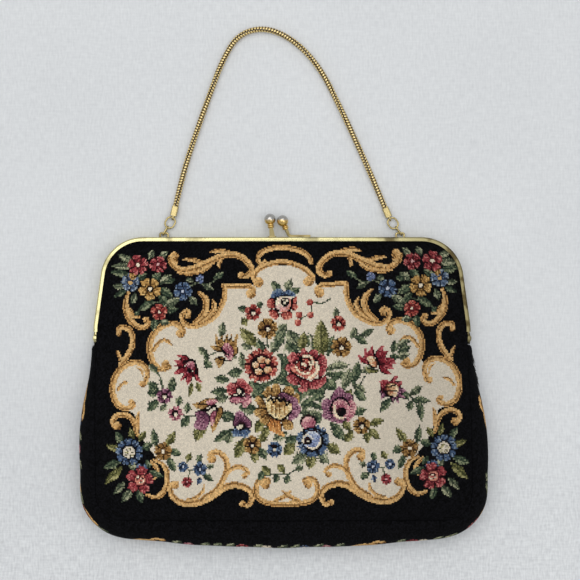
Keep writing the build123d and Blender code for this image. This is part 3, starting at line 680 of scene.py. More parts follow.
# Petals of the large flowers, flower by flower from the back: heart, then outlines with their colours
PETALS = (
    # anemone at the top
    ((283, 303), (
        (BLUE, [(270.5, 298), (271, 294), (275, 290), (280, 288.5), (284, 291), (288, 289.5), (293, 292),
                (296, 295), (293, 297), (286, 296), (280, 297), (275, 299)]),
        (CORAL, [(266.5, 301), (270, 298), (274, 299), (275, 307), (272, 309), (267.5, 307)]),
        (CORAL, [(268, 311), (273, 309), (278, 312), (279, 317), (276, 319.5), (271, 317)]),
        (CORAL, [(279.5, 314), (284, 311), (289, 310), (292.5, 314), (291, 318.5), (286, 320),
                 (282, 318.5)]),
        (CORAL, [(290.5, 299), (296.5, 297), (296.5, 303), (298, 307), (295.5, 310.5), (291, 309),
                 (291, 302)]),
    )),
    # tulip
    ((227, 351), (
        (OCHRE, [(216, 333), (219, 340), (222, 335), (224, 341), (227, 333.5), (229, 340), (231.5, 334),
                 (233, 341), (237.5, 333), (237.5, 345), (238, 352), (234, 356), (226, 352), (218, 350),
                 (215, 340)]),
        (OCHRE, [(209.5, 346.5), (215, 346), (222, 347.5), (225, 352), (219, 352), (213, 349.5)]),
        (OCHRE, [(214, 359.5), (219, 356), (225, 358), (224, 363), (219, 368), (216, 363)]),
        (PINK, [(221.5, 346), (226, 343), (232, 346), (234, 352), (231, 360), (226, 358), (223, 352)]),
    )),
    # lily on the left
    ((191, 367), (
        (CRIMSON, [(192, 360), (186, 355), (176, 355.5), (181, 358.5), (178, 360), (187, 362)]),
        (CRIMSON, [(189, 362), (182, 359.5), (174, 360.5), (177, 364), (174.5, 366), (182, 367.5)]),
        (CRIMSON, [(188, 366), (181, 367), (174, 372), (176, 374.5), (183, 374), (180, 381), (187, 377),
                   (190, 372)]),
        (CRIMSON, [(188, 373), (186, 378), (187, 384.5), (190.5, 382), (193, 376), (192, 371)]),
        (CRIMSON, [(193, 364), (198, 368), (199, 377), (202, 382.5), (196, 380), (193, 374)]),
        (PINK, [(185.5, 364.5), (190, 360.5), (195.5, 363), (193, 370), (188, 373), (187, 368)]),
    )),
    # lily on the right
    ((376, 364), (
        (CRIMSON, [(376, 366), (368, 365), (361, 362), (357.5, 354), (363, 357), (365, 347.5),
                   (368, 352), (372, 346), (374, 351), (375, 358)]),
        (CRIMSON, [(377, 364), (375, 354), (378, 349), (384, 345), (383.5, 350), (388, 351), (386, 357),
                   (390, 357), (396, 363), (388, 365)]),
        (CRIMSON, [(379, 365), (388, 362), (393.5, 369), (388, 370), (391.5, 374.5), (384, 374),
                   (379, 369)]),
        (PEACH, [(367, 358), (370.5, 355.5), (374, 357.5), (377, 363), (376, 368), (370, 366)]),
        (OLIVE, [(364.5, 366), (371, 369), (379, 369.5), (375, 373.5), (368, 372)]),
    )),
    # crimson and purple flower below it
    ((389, 390), (
        (CRIMSON, [(388, 384), (391, 380), (395, 375.5), (399, 377), (396, 381), (402.5, 382),
                   (400, 387), (394, 388)]),
        (PURPLE, [(395, 387), (401, 387), (406, 391), (402, 393), (405.5, 398.5), (398, 397), (394, 394)]),
        (PURPLE, [(389, 395), (395, 395), (398.5, 398), (398, 403.5), (395.5, 399.5), (392.5, 403.5),
                  (390.5, 399)]),
        (PURPLE, [(386, 391), (390, 397), (386, 396.5), (380.5, 400), (381, 395), (379, 391)]),
        (CRIMSON, [(379.5, 381), (386, 379.5), (391, 383), (388, 389), (383, 393), (380.5, 388)]),
        (PEACH, [(385, 385), (391, 383), (397, 385), (398, 390), (396, 396), (390, 396.5), (387, 392)]),
    )),
    # rose
    ((306, 366), (
        (RED, [(287.5, 356), (291, 353), (297, 352), (300.5, 354), (300, 359), (296, 362), (290, 363),
               (288, 360)]),
        (RED, [(299, 354), (303, 349), (307, 350.5), (310, 355), (306, 358), (301, 358)]),
        (RED, [(308, 353), (311, 350), (316, 349.5), (318.5, 354), (318, 360), (314, 358), (310, 355)]),
        (RED, [(317, 358), (321, 354), (325.5, 357), (327, 363), (326, 370), (322, 377), (318, 378),
               (318, 367)]),
        (RED, [(285, 368), (288, 364), (294, 362), (299, 366), (297, 372), (291, 374), (286.5, 371)]),
        (RED, [(287, 376), (291, 373), (297, 375), (302, 380), (299, 385), (292, 384), (287, 379.5)]),
        (RED, [(297, 383), (302, 379), (309, 380), (309.5, 386), (306, 391.5), (300, 392), (298, 388),
               (300.5, 386)]),
        (RED, [(308, 383), (314, 379), (320, 378.5), (326, 375), (325.5, 382), (321, 387), (315, 389),
               (309.5, 388)]),
        (CORAL, [(291, 368), (296, 364), (300, 360), (305, 356), (311, 356), (316, 361), (319, 367),
                 (318, 374), (313, 379), (305, 378), (298, 375), (293, 372)]),
    )),
    # red flower on the left of the middle
    ((239, 391), (
        (RED, [(226, 387), (230, 383), (236, 382), (238, 378.5), (243, 379), (249, 384), (252.5, 389),
               (250, 394), (245, 394), (240, 389), (235, 394), (229, 395.5), (227, 391)]),
        (PINK, [(228.5, 398), (236, 395.5), (242, 397), (246, 393.5), (251, 396), (251.5, 402),
                (247, 406), (243.5, 408), (241, 403), (236, 404.5), (230, 402)]),
    )),
    # large yellow flower
    ((279, 404), (
        (OCHRE, [(262, 394), (268, 386.5), (272, 388.5), (271, 395), (266, 398)]),
        (OCHRE, [(270, 393), (273.5, 384), (279, 384.5), (281, 391), (278, 397), (272, 397)]),
        (OCHRE, [(281, 392), (286, 386.5), (292, 387), (294, 393), (291, 397), (284, 397)]),
        (OCHRE, [(289, 396), (297, 393.5), (300, 398), (298, 405), (292, 404)]),
        (OCHRE, [(254.5, 400), (258, 395.5), (264, 400), (267, 408), (260, 408)]),
        (OCHRE, [(253.5, 412), (258, 407.5), (266, 409), (269, 414), (262, 419), (256, 416)]),
        (OCHRE, [(259, 421), (266, 414.5), (273, 418), (272, 425), (265, 425)]),
        (ORANGE, [(266, 425), (273, 416), (280, 419), (282, 430), (285, 436.5), (277, 434), (271, 431)]),
        (OCHRE, [(280, 419), (288, 419), (294, 424), (291, 430), (284, 429)]),
        (PURPLE, [(290, 404), (299.5, 405), (300.5, 411), (296.5, 418), (288, 420), (289, 411)]),
        (PURPLE, [(277, 395), (283, 391.5), (290, 395), (297, 399), (297, 406), (291, 409), (285, 402)]),
        (STRAW, [(265.5, 399), (269, 396), (273, 399), (277, 396), (281, 399), (285, 398), (288, 402),
                 (292, 404.5), (291.5, 410), (287, 416.5), (279, 419), (272, 417), (268, 412), (266, 405)]),
    )),
    # purple flower on the right
    ((340, 409), (
        (PURPLE, [(330, 398), (334, 391), (338.5, 386.5), (342, 388), (345, 392), (350, 393), (354, 398),
                  (351, 404), (342, 401), (333, 402)]),
        (PINK, [(349, 398), (355.5, 403), (356, 410), (353, 417.5), (347, 422), (346, 412)]),
        (PURPLE, [(347, 419), (341, 424), (335, 422), (328.5, 420), (331, 412), (339, 417)]),
        (PURPLE, [(332, 399), (324, 399.5), (321.5, 406), (323.5, 411), (322, 416), (328, 420),
                  (334, 415), (333, 406)]),
        (PINK, [(332, 407), (335, 401), (341, 399.5), (347, 403), (349.5, 410), (346, 417), (339, 420),
                (333, 415)]),
    )),
    # tulip on the left of the bottom row
    ((212, 408), (
        (OCHRE, [(192.5, 404), (199, 402), (206, 398.5), (215, 398), (218, 402), (210, 406),
                 (203, 409.5), (197, 408.5)]),
        (PINK, [(206, 402), (211, 399.5), (217, 400.5), (216, 404), (209, 406)]),
        (OCHRE, [(215, 410), (221, 406), (223.5, 412), (220, 420), (216, 428), (212.5, 432),
                 (210.5, 424), (211, 416)]),
        (PINK, [(210, 413), (216, 410), (216, 417), (212.5, 426), (209.5, 420)]),
        (PURPLE, [(194, 412.5), (200, 410), (206, 411.5), (210, 416), (209.5, 423), (206, 429),
                  (202, 430.5), (197, 429), (193.5, 426.5), (196, 419)]),
    )),
    # purple and blue flower
    ((241, 425), (
        (PURPLE, [(235, 414), (239, 410.5), (243, 412.5), (247, 417), (252, 422), (250.5, 428),
                  (245, 427), (241, 422), (236, 427), (232.5, 424), (234, 418)]),
        (BLUE, [(231.5, 432), (235, 427.5), (240, 430), (246, 427.5), (250.5, 430), (249, 434.5),
                (245, 437.5), (240, 436), (234, 436.5)]),
    )),
)


# Small flowers: centre, radius, colours
SMALL_FLOWERS = (
    ((253, 312.5), 8.6, CORAL), ((338.5, 323.5), 8.4, CORAL), ((267.5, 328.5), 11.2, OCHRE),
    ((341.5, 347), 11.0, OCHRE), ((361.5, 425.5), 9.4, OCHRE), ((252, 445), 9.8, OCHRE),
    ((175.5, 413.5), 7.8, PINK), ((164.5, 396), 8.6, PURPLE),
)
# Oval patches, from the back: centre, half widths, colours
BERRIES = (
    ((310, 302.5), 3.6, 3.5, CORAL), ((310.5, 315), 3.6, 3.5, CORAL), ((299, 315), 3.6, 3.5, CORAL),
    ((298, 322.5), 3.6, 3.5, CORAL),
)
BLUE_FLOWER = (
    ((312.5, 440), 10.2, 10.2, NIGHT),
    ((312, 440), 9.0, 8.8, ((104, 118, 156), (152, 164, 192), (204, 210, 218))),
    ((307.5, 441), 4.2, 4.2, NIGHT),
)
CORAL_FLOWER = (
    ((261.5, 359.6), 4.2, 2.9, PEACH), ((255.6, 365), 3.2, 3.0, PEACH), ((267.6, 361), 2.4, 2.6, PEACH),
    ((258.6, 371.6), 3.8, 3.0, PEACH), ((267.8, 369.6), 4.0, 3.4, PEACH), ((262.6, 365.6), 2.4, 2.2, CORAL),
)
WHITES = (PALE, PALE, CREAM)
HEARTS = (
    ((240, 391.3), 4.6, 4.4, NIGHT), ((242, 426), 4.0, 4.2, NIGHT), ((341.5, 411.8), 5.2, 4.8, NIGHT),
    ((189.5, 370.5), 2.2, 2.4, NIGHT), ((283.3, 304), 8.2, 8.0, (CORAL[2], PINK[2], PALE)),
    ((285, 301.8), 4.8, 4.6, NIGHT), ((238.8, 391.6), 2.2, 2.2, WHITES), ((240.6, 426.6), 2.2, 2.2, WHITES),
    ((284.6, 302.6), 1.3, 1.3, WHITES), ((286.8, 300.4), 1.2, 1.2, WHITES),
    ((283.2, 299.8), 1.2, 1.2, WHITES), ((308, 441.6), 1.0, 1.0, WHITES),
)
# Lines over the petals: points, width
DARK_LINES = (
    ([(268, 400.5), (271, 398), (274, 402.5), (277, 398), (281, 401.5), (284, 398), (287, 405),
      (290, 401)], 2.2),
    ([(270, 415), (276, 419.5), (284, 419), (291.5, 411)], 2.0),
    ([(335, 400), (340, 397.5), (346, 400), (349, 405)], 2.0),
    ([(332.5, 402), (330.5, 408), (332, 414)], 1.8), ([(221, 348.5), (225, 353), (228.5, 354.5)], 2.2),
    ([(219, 358.5), (224, 360), (231, 361)], 1.8), ([(194.5, 361.5), (196.5, 367), (195.5, 374)], 2.2),
    ([(184, 362.5), (190, 360), (195, 361)], 1.8), ([(374, 354), (377, 359), (378.5, 364)], 2.2),
    ([(368, 362), (371, 366.5), (374, 367)], 2.0), ([(384.5, 387.5), (390, 386.5), (395, 385)], 1.6),
    ([(386, 391), (391, 391.3), (396, 391)], 1.5), ([(383.5, 389.5), (387, 395), (393, 397)], 1.9),
    ([(203, 410.3), (208, 410), (212, 407), (215, 406), (217.5, 410)], 2.4),
    ([(198, 404.5), (205, 404), (210, 406)], 1.3),
    ([(299, 361), (303, 358), (308, 358.5), (310.5, 362), (309, 366)], 2.0),
    ([(313.5, 357), (316, 362), (315, 367)], 1.8), ([(300.5, 366), (301, 362.5), (304, 360.5)], 2.0),
    ([(301, 368), (305, 369.5), (308, 367.5)], 1.6), ([(290.5, 370.5), (296, 375), (302, 378.5)], 1.6),
    ([(296, 353), (300, 358), (304, 355)], 1.4),
    ([(276, 298), (274.8, 303), (275.5, 309), (279, 311)], 2.0),
    ([(292, 300), (291.5, 306), (289, 311)], 1.8),
    ([(231, 396), (236, 396), (240, 396.5), (245, 396)], 1.6),
    ([(304, 430), (309, 428.4), (316, 428.6), (321, 432)], 2.0),
    ([(322, 437), (322, 445), (318, 450)], 2.0), ([(305, 447), (311, 451), (318, 450)], 1.8),
)
PALE_LINES = (
    ([(303, 356.5), (308, 356), (312, 359), (313, 364)], 2.2),
    ([(317, 363), (317.5, 370), (314, 375), (309, 377.5)], 3.0), ([(302.5, 363.5), (305, 365)], 2.8),
    ([(296, 367), (299, 371.5), (305, 374), (310, 372.5)], 2.2),
    ([(309, 362), (311, 366), (310, 370)], 1.8),
    ([(334, 406), (334.5, 412), (338, 417), (343, 418.5)], 2.6),
)
YELLOW_LINES = tuple([(x, top), (x + 0.4, foot)] for x, top, foot in (
    (271.5, 404, 412), (275.5, 403, 416), (280, 405, 417), (284.5, 406, 415),
))


def bouquet(cloth):
    """The flowers of the middle, in front of their leaves."""
    hidden = cloth.inside(smooth_line([*FOLIAGE, FOLIAGE[0]]))
    cloth.sew(hidden, LEAF, 0.15 + 0.9 * cloth.chance[hidden])
    for leaf in BOUQUET_LEAVES:
        cloth.leaf(*leaf)
    for line in PALE_EDGES:
        cloth.twig(line, (GREY_LEAF[2], CREAM, CREAM), 2.0)
    for line in BOUQUET_TWIGS:
        cloth.twig(line, LEAF)
    for (u, v), radius, colours in SMALL_FLOWERS:
        cloth.flower((u, v), radius, colours, 5, 0.4, colours[0], colours[0], 0.2)
        cloth.bead((u - 0.3, v), 3.3, 3.3, NIGHT)
        cloth.bead((u + 0.4, v + 1.0), 1.9, 1.9, WHITES)
    for bead in BERRIES:
        cloth.bead(*bead)
    cloth.flower((275, 449.5), 8.4, BLUE, 4, 0.8, BLUE[0], BLUE[0], 0.2)
    cloth.bead((274.5, 447), 3.2, 2.4, NIGHT)
    cloth.bead((275, 449.6), 2.0, 1.6, (BLUE[2], PALE, PALE))
    # blue flower of the bottom row and its bud
    cloth.flower((313, 441), 17.6, BLUE, 7, 0.3, BLUE[0], BLUE[0], 0.2, 0.14)
    for bead in BLUE_FLOWER:
        cloth.bead(*bead)
    cloth.twig([(303, 442), (303.5, 437), (308, 434.8), (312, 438)], (CREAM, PALE, CREAM), 1.7)
    cloth.twig([(307, 447), (313, 448.6), (319, 445), (320.5, 439)], (CREAM, PALE, CREAM), 1.7)
    cloth.bead((308.5, 422), 8.6, 7.4, NIGHT)
    cloth.bead((308.5, 423), 6.8, 6.2, PINK)
    for heart, petals in PETALS:
        for colours, outline in petals:
            cloth.petal(outline, colours, heart)
    # coral flower with a pale middle
    cloth.flower((261, 365.5), 17.8, CORAL, 8, 0.1, NIGHT[0], (60, 20, 24), 0.56, 0.13)
    for bead in (*CORAL_FLOWER, *HEARTS):
        cloth.bead(*bead)
    for line, width in DARK_LINES:
        cloth.twig(line, NIGHT, width)
    for line, width in PALE_LINES:
        cloth.twig(line, (PEACH[2], PALE, CREAM), width)
    for line in YELLOW_LINES:
        cloth.twig(line, OCHRE, 1.3)


def panel_drawing(u, v):
    """Colours of a panel's stitches at the drawing places u, v; they are a little darker towards its right
    side.
    """
    cloth = Stitching(u, v)
    halves = (cloth, cloth.mirrored())
    for half in halves:
        half.field(FIELD, CREAM)
    for scroll in ARCHES:
        cloth.scroll(*scroll)
    for half in halves:
        for scroll in SCROLLS:
            half.scroll(*scroll)
        for base, tip, width, colours in CORNER_LEAVES:
            half.leaf(base, tip, 0.82 * width, colours)
        for line in CORNER_TWIGS:
            half.twig(line)
        for flower in CORNER_FLOWERS:
            half.flower(*flower)
    bouquet(cloth)
    # Darker towards the right side of the drawing.
    rightward = np.clip((u - 290) / 130, 0, 1)
    return cloth.rgb * (0.98 - 0.1 * rightward**1.4)[:, None]


# The gusset's garland, by the distance from the middle of the bottom along the strip
GARLAND_SCROLL = (
    ([(0, 5), (8, -3), (18, -6), (30, -1), (38, 4)], 5.4, 0.4, 0.5),
    ([(20, -5), (28, -10), (35, -9)], 4.0, 0.8, 0.8, 1, 2.8),
    ([(12, -4), (6, 6), (1, 9)], 3.4, 0.8, 0.6, 1, 2.4),
)
GARLAND_SCROLLS = (-306, -212, -154, 62, 254)
GARLAND_FLOWERS = (
    (-268, 5.5, BLUE), (-240, 5.5, PINK), (-186, 6.0, RED), (-94, 6.0, PINK), (-41, 6.6, RED),
    (-17, 6.0, (CREAM, PALE, PALE)), (20, 5.6, BLUE), (42, 5.2, PINK), (126, 6.4, RED),
    (137, 5.2, (CREAM, PALE, PALE)), (176, 6.4, RED), (186, 4.8, OCHRE),
)
GARLAND_LEAVES = (-256, -228, -198, -174, -108, -80, -68, -56, -28, -4, 8, 31, 52, 112, 148, 158, 200, 210)


def garland(u, v):
    """Colours of the gusset's stitches: u runs along the strip from its middle and v across it."""
    cloth = Stitching(u, v)
    for start in GARLAND_SCROLLS:
        for points, *shape in GARLAND_SCROLL:
            cloth.scroll([(start + along, across) for along, across in points], *shape)
    for place in GARLAND_LEAVES:
        cloth.leaf((place, -2), (place + 7, -11), 7.0, GREY_LEAF)
        cloth.leaf((place + 2, 1), (place - 6, 8), 6.5, LEAF)
    for place, radius, colours in GARLAND_FLOWERS:
        cloth.flower((place, -4), radius, colours, 5, 0.3 * place, PALE, colours[0], 0.24)
    return cloth.rgb


def node_tree(name):
    """A search tree over one solid."""
    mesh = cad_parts[name].data
    return BVHTree.FromPolygons([v.co for v in mesh.vertices], [tuple(p.vertices) for p in mesh.polygons])


def half_width(name, heights):
    """Half the width of a solid, seen from above, at each of some places along Y."""
    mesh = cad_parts[name].data
    place = np.array([v.co for v in mesh.vertices])
    ends = place[np.array([tuple(edge.vertices) for edge in mesh.edges])]
    low, high = ends[:, 0], ends[:, 1]
    widths = []
    for y in heights:
        crosses = (low[:, 1] > y) != (high[:, 1] > y)
        a, b = low[crosses], high[crosses]
        widths.append(np.max(a[:, 0] + (b[:, 0] - a[:, 0]) * (y - a[:, 1]) / (b[:, 1] - a[:, 1])))
    return np.array(widths)


def settle(values, passes):
    """Smooth a grid of heights, so that the solid's facets don't show."""
    for _ in range(passes):
        wide = np.pad(values, 1, mode="edge")
        beside = wide[:-2, 1:-1] + wide[2:, 1:-1] + wide[1:-1, :-2] + wide[1:-1, 2:]
        values = (wide[1:-1, 1:-1] * 2 + beside) / 6
    return values


def leaned(points):
    """The pouch hangs a little to the right below the frame."""
    drop = np.clip((HINGE_Y - points[..., 1]) / LEAN_REACH, 0, 1)
    moved = points.copy()
    moved[..., 0] += POUCH_LEAN * drop**2 * (3 - 2 * drop)
    return moved


def panel_grid(name, up, pitch):
    """Points over a panel's outer face, in rows along X that reach its outline."""
    low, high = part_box(name)
    tree = node_tree(name)
    rows = 4 * round((high[1] - low[1]) / pitch / 4)
    columns = 4 * round((high[0] - low[0]) / pitch / 4)
    edge = 1e-5
    y = np.linspace(low[1] + edge, high[1] - edge, rows + 1)
    wide = half_width(name, y) - edge
    x = wide[:, None] * np.linspace(-1, 1, columns + 1)[None, :]
    z = np.empty_like(x)
    start = high[2] + CAST if up > 0 else low[2] - CAST
    for row in range(rows + 1):
        for column in range(columns + 1):
            hit = tree.ray_cast(Vector((0.9999 * x[row, column], y[row], start)), Vector((0, 0, -up)))[0]
            z[row, column] = hit.z if hit else np.nan
    while np.isnan(z).any():
        z = np.where(np.isnan(z), np.roll(z, 1, 0), z)
    z = settle(z, 12)
    for step, fall in enumerate(RIM_FALL):
        z[:, [step, columns - step]] -= up * fall
        z[[step, rows - step]] -= up * fall
    return leaned(np.stack([x, np.repeat(y[:, None], columns + 1, 1), z], 2))


def grid_faces(rows, columns, first=0, flip=False):
    """The numbers of a grid's points, counted from first, and its faces."""
    number = first + np.arange((rows + 1) * (columns + 1)).reshape(rows + 1, columns + 1)
    quads = np.stack([number[:-1, :-1], number[:-1, 1:], number[1:, 1:], number[1:, :-1]], 2).reshape(-1, 4)
    return number, (quads[:, ::-1] if flip else quads).tolist()


def border(number):
    """The numbers round the edge of a grid, in order."""
    return [*number[0, :-1], *number[:-1, -1], *number[-1, :0:-1], *number[:0:-1, 0]]


def cloth_mesh(name, outer, inner, finish, colours=None, turned=False):
    """A closed piece of cloth: a fine outer face, an inner face of every fourth point and a rim."""
    rows, columns = outer.shape[0] - 1, outer.shape[1] - 1
    fine, faces = grid_faces(rows, columns, 0, turned)
    count = len(faces)
    coarse = inner[::4, ::4]
    back, back_faces = grid_faces(rows // 4, columns // 4, fine.size, not turned)
    rim, rim_back = border(fine), border(back)
    rims = []
    for step in range(len(rim_back)):
        run = [rim[(4 * step + k) % len(rim)] for k in range(5)]
        wall = [*run[::-1], rim_back[step], rim_back[(step + 1) % len(rim_back)]]
        rims.append([int(n) for n in (wall[::-1] if turned else wall)])
    mesh = bpy.data.meshes.new(name)
    points = np.vstack([outer.reshape(-1, 3), coarse.reshape(-1, 3)])
    mesh.from_pydata(points.tolist(), [], faces + back_faces + rims)
    mesh.materials.append(finish.material)
    mesh.shade_smooth()
    if colours is not None:
        thread = mesh.attributes.new("thread", "FLOAT_COLOR", "CORNER")
        shades = np.tile(np.append(linear(BLACK), 1.0), (len(mesh.loops), 1))
        shades[: 4 * count, :3] = np.repeat(linear(colours), 4, axis=0)
        thread.data.foreach_set("color", shades.astype(np.float32).ravel())
    layer = mesh.uv_layers.new(name="stitches")
    place = np.zeros((len(mesh.loops), 2))
    row, column = np.divmod(np.arange(count), columns)
    corners = np.array(((0, 0), (1, 0), (1, 1), (0, 1)))
    corners = corners[::-1] if turned else corners
    place[: 4 * count] = (np.stack([column, row], 1)[:, None, :] + corners[None]).reshape(-1, 2)
    layer.data.foreach_set("uv", place.astype(np.float32).ravel())
    piece = bpy.data.objects.new(name, mesh)
    bpy.context.collection.objects.link(piece)
    return piece


def middles(grid):
    """The middle of each face of a grid."""
    return (grid[:-1, :-1] + grid[1:, :-1] + grid[:-1, 1:] + grid[1:, 1:]).reshape(-1, 3) / 4


def drawing_place(points):
    """Where the camera sees points of the panel, in drawing units."""
    unit = DRAWING_UNIT * (1 - points[:, 2] / CAMERA[2])
    across, up = (points[:, 0] - CAMERA[0]) / unit, (points[:, 1] - CAMERA[1]) / unit
    return DRAWING_MIDDLE + across, DRAWING_MIDDLE - up


def panel(name, up, finish):
    """A tapestry panel whose outer face looks up (1) or down (-1)."""
    outer = panel_grid(name, up, STITCH)
    inner = outer - np.array((0, 0, up * TAPESTRY_THICKNESS))
    seen = middles(outer)
    if up < 0:
        seen = seen * np.array((-1, 1, 0)) + np.array((0, 0, BACK_DRAWING_Z))
    return cloth_mesh(f"{name}_tapestry", outer, inner, finish, panel_drawing(*drawing_place(seen)), up < 0)


def lining(name, up, finish):
    """The satin behind a panel, a little rippled."""
    outer = panel_grid(name, up, 4 * STITCH)
    ripple = 0.00012 * np.sin(outer[..., 0] / 0.009) * np.sin(outer[..., 1] / 0.013 + 1)
    outer[..., 2] -= up * np.abs(ripple)
    inner = outer - np.array((0, 0, up * LINING_THICKNESS))
    return cloth_mesh(f"{name}_satin", outer, inner, finish, None, up < 0)


def seam_line(columns):
    """Points and outward directions along the gusset's seam, from its left end round to its right end."""
    low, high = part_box("front_panel")
    middle = (SEAM_CORNER - high[0], low[1] + SEAM_CORNER)
    left = [(-high[0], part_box("gusset")[1][1])]
    for angle in np.linspace(math.pi, 1.5 * math.pi, 24):
        left.append((middle[0] + SEAM_CORNER * math.cos(angle), middle[1] + SEAM_CORNER * math.sin(angle)))
    route = np.array(left + [(-x, y) for x, y in left[::-1]])
    run = np.append(0, np.cumsum(np.hypot(*np.diff(route, axis=0).T)))
    along = np.linspace(0, run[-1], columns + 1)
    at = np.stack([np.interp(along, run, route[:, k]) for k in (0, 1)], 1)
    step = np.gradient(at, axis=0)
    for _ in range(6):
        step[1:-1] = (step[:-2] + 2 * step[1:-1] + step[2:]) / 4
    step /= np.hypot(*step.T)[:, None]
    return at, np.stack([step[:, 1], -step[:, 0]], 1), run[-1]


def gusset_grid(name, rows, columns, tail):
    """Points over the gusset's outer face, with a tail of columns gathered up to the rivet at each end.

    Each column of the solid's part is cast from outside to the middle of the seam.
    """
    tree = node_tree(name)
    at, out, length = seam_line(columns)
    grid = np.empty((rows + 1, columns + 1, 3))
    for column in range(columns + 1):
        foot = Vector((*(at[column] + 0.0006 * out[column]), 0))
        if column in (0, columns):
            foot.y -= 0.0001
        outward = Vector((*out[column], 0))
        top = tree.ray_cast(foot + Vector((0, 0, CAST)), Vector((0, 0, -1)))[0].z
        base = tree.ray_cast(foot - Vector((0, 0, CAST)), Vector((0, 0, 1)))[0].z
        heart = foot + Vector((0, 0, (top + base) / 2))
        for row in range(rows + 1):
            angle = math.pi * row / rows
            ray = outward * math.sin(angle) * 1.25 + Vector((0, 0, math.cos(angle)))
            ray.normalize()
            hit = tree.ray_cast(heart + CAST * ray, -ray)[0]
            grid[row, column] = hit if hit else heart
    for axis in range(3):
        grid[1:-1, :, axis] = settle(grid[:, :, axis], 6)[1:-1]
    angle = np.pi * np.arange(rows + 1) / rows
    run = np.linspace(0, length, columns + 1)
    ends = np.exp(-np.minimum(run, length - run) / PLEAT_REACH)
    sag = 0.00016 * np.sin(run / 0.0071) + 0.0001 * np.sin(run / 0.0043 + 1)
    pleats = PLEAT_DEPTH * ends[None] * np.sin(7 * angle[:, None] + run[None] / 0.006)
    sewn = np.exp(-rows * np.sin(angle) / 4)[:, None]
    push = np.sin(angle)[:, None] * (sag[None] + pleats) - SEAM_PULL * sewn
    grid[..., :2] += push[..., None] * out[None]
    grid[..., 2] -= SEAM_SINK * sewn * np.sign(np.cos(angle))[:, None]
    gathered = []
    for end, seam in ((0, at[0]), (-1, at[-1])):
        for step in np.arange(1, tail + 1) / tail:
            column = grid[:, end].copy()
            column[:, 0] = seam[0] + (column[:, 0] - seam[0]) * (1 - 0.8 * step**2)
            column[:, 1] += GUSSET_TAIL * math.sin(step * math.pi / 2)
            column[:, 2] = HINGE_Z + (column[:, 2] - HINGE_Z) * (1 - GUSSET_NARROW * step)
            gathered.append(column)
    columns_left, columns_right = gathered[tail - 1 :: -1], gathered[tail:]
    grid = np.stack([*columns_left, *np.moveaxis(grid, 1, 0), *columns_right], 1)
    return leaned(grid), length


def strip_inside(outer, thickness):
    """The inner face of a strip of cloth that bulges away from its middle line."""
    middle = outer.mean(0)
    away = np.linalg.norm(outer - middle[None], axis=2)
    return outer - thickness * (outer - middle[None]) / np.maximum(away, 1e-6)[..., None]


def gusset(name, finish):
    """The tapestry strip round the pouch, and the points of its outer face."""
    rows, columns, tail = 56, 520, 4
    outer, length = gusset_grid(name, rows, columns, tail)
    columns += 2 * tail
    places = middles(outer).reshape(rows, columns, 3)
    run = (np.arange(columns) + 0.5 - columns / 2) * length / (columns - 2 * tail)
    arc = np.cumsum(np.linalg.norm(np.diff(places, axis=0, prepend=places[:1]), axis=2), axis=0)
    across = arc - arc[-1:] / 2
    u = np.broadcast_to(run[None, :], (rows, columns)) / DRAWING_UNIT
    colours = garland(u.ravel(), across.ravel() / DRAWING_UNIT)
    inner = strip_inside(outer, TAPESTRY_THICKNESS)
    return cloth_mesh(f"{name}_tapestry", outer, inner, finish, colours, True), outer


def gusset_lining(name, finish):
    """The satin strip behind the gusset."""
    outer, _ = gusset_grid(name, 16, 132, 4)
    return cloth_mesh(f"{name}_satin", outer, strip_inside(outer, LINING_THICKNESS), finish, None, True)


def chain_route():
    """The handle's line, as a smooth curve with the route's points as its control points."""
    curve = bpy.data.curves.new("chain_route", "CURVE")
    curve.dimensions = "3D"
    spline = curve.splines.new("NURBS")
    spline.points.add(len(CHAIN_ROUTE) - 1)
    for point, (x, y) in zip(spline.points, CHAIN_ROUTE):
        point.co = (x, y, CHAIN_Z, 1)
    spline.order_u = 3
    spline.use_endpoint_u = True
    spline.resolution_u = 24
    route = bpy.data.objects.new("chain_route", curve)
    bpy.context.collection.objects.link(route)
    return route


class Tree:
    """A Geometry Nodes tree with named inputs for its sizes."""

    def __init__(self, name):
        self.group = bpy.data.node_groups.new(name, "GeometryNodeTree")
        self.group.interface.new_socket("Geometry", in_out="INPUT", socket_type="NodeSocketGeometry")
        self.group.interface.new_socket("Geometry", in_out="OUTPUT", socket_type="NodeSocketGeometry")
        self.entry = self.group.nodes.new("NodeGroupInput")
        self.exit = self.group.nodes.new("NodeGroupOutput")
        self.sizes = {}

    def size(self, name, value):
        socket = self.group.interface.new_socket(name, in_out="INPUT", socket_type="NodeSocketFloat")
        self.sizes[socket.identifier] = value
        return self.entry.outputs[name]

    def node(self, kind, settings=None, **links):
        """Add a node; a link's key is its socket's name, or its number with an underscore before it."""
        made = self.group.nodes.new(kind)
        for key, value in (settings or {}).items():
            setattr(made, key, value)
        for key, value in links.items():
            socket = made.inputs[int(key[1:])] if key[0] == "_" else made.inputs[key.replace("_", " ")]
            if isinstance(value, bpy.types.NodeSocket):
                self.group.links.new(value, socket)
            else:
                socket.default_value = value
        return made.outputs

    def math(self, operation, first, second):
        return self.node("ShaderNodeMath", {"operation": operation}, _0=first, _1=second)[0]

    def run(self, base, result, name, material):
        """Evaluate the tree on base and return the outcome as a plain piece."""
        whole = self.node("GeometryNodeRealizeInstances", None, Geometry=result)[0]
        dressed = self.node("GeometryNodeSetMaterial", None, Geometry=whole, Material=material)[0]
        self.group.links.new(dressed, self.exit.inputs[0])
        modifier = base.modifiers.new("build", "NODES")
        modifier.node_group = self.group
        for identifier, value in self.sizes.items():
            modifier[identifier] = value
        bpy.context.view_layer.update()
        mesh = bpy.data.meshes.new_from_object(base.evaluated_get(bpy.context.evaluated_depsgraph_get()))
        base.modifiers.remove(modifier)
        mesh.name = name
        piece = bpy.data.objects.new(name, mesh)
        bpy.context.collection.objects.link(piece)
        return piece


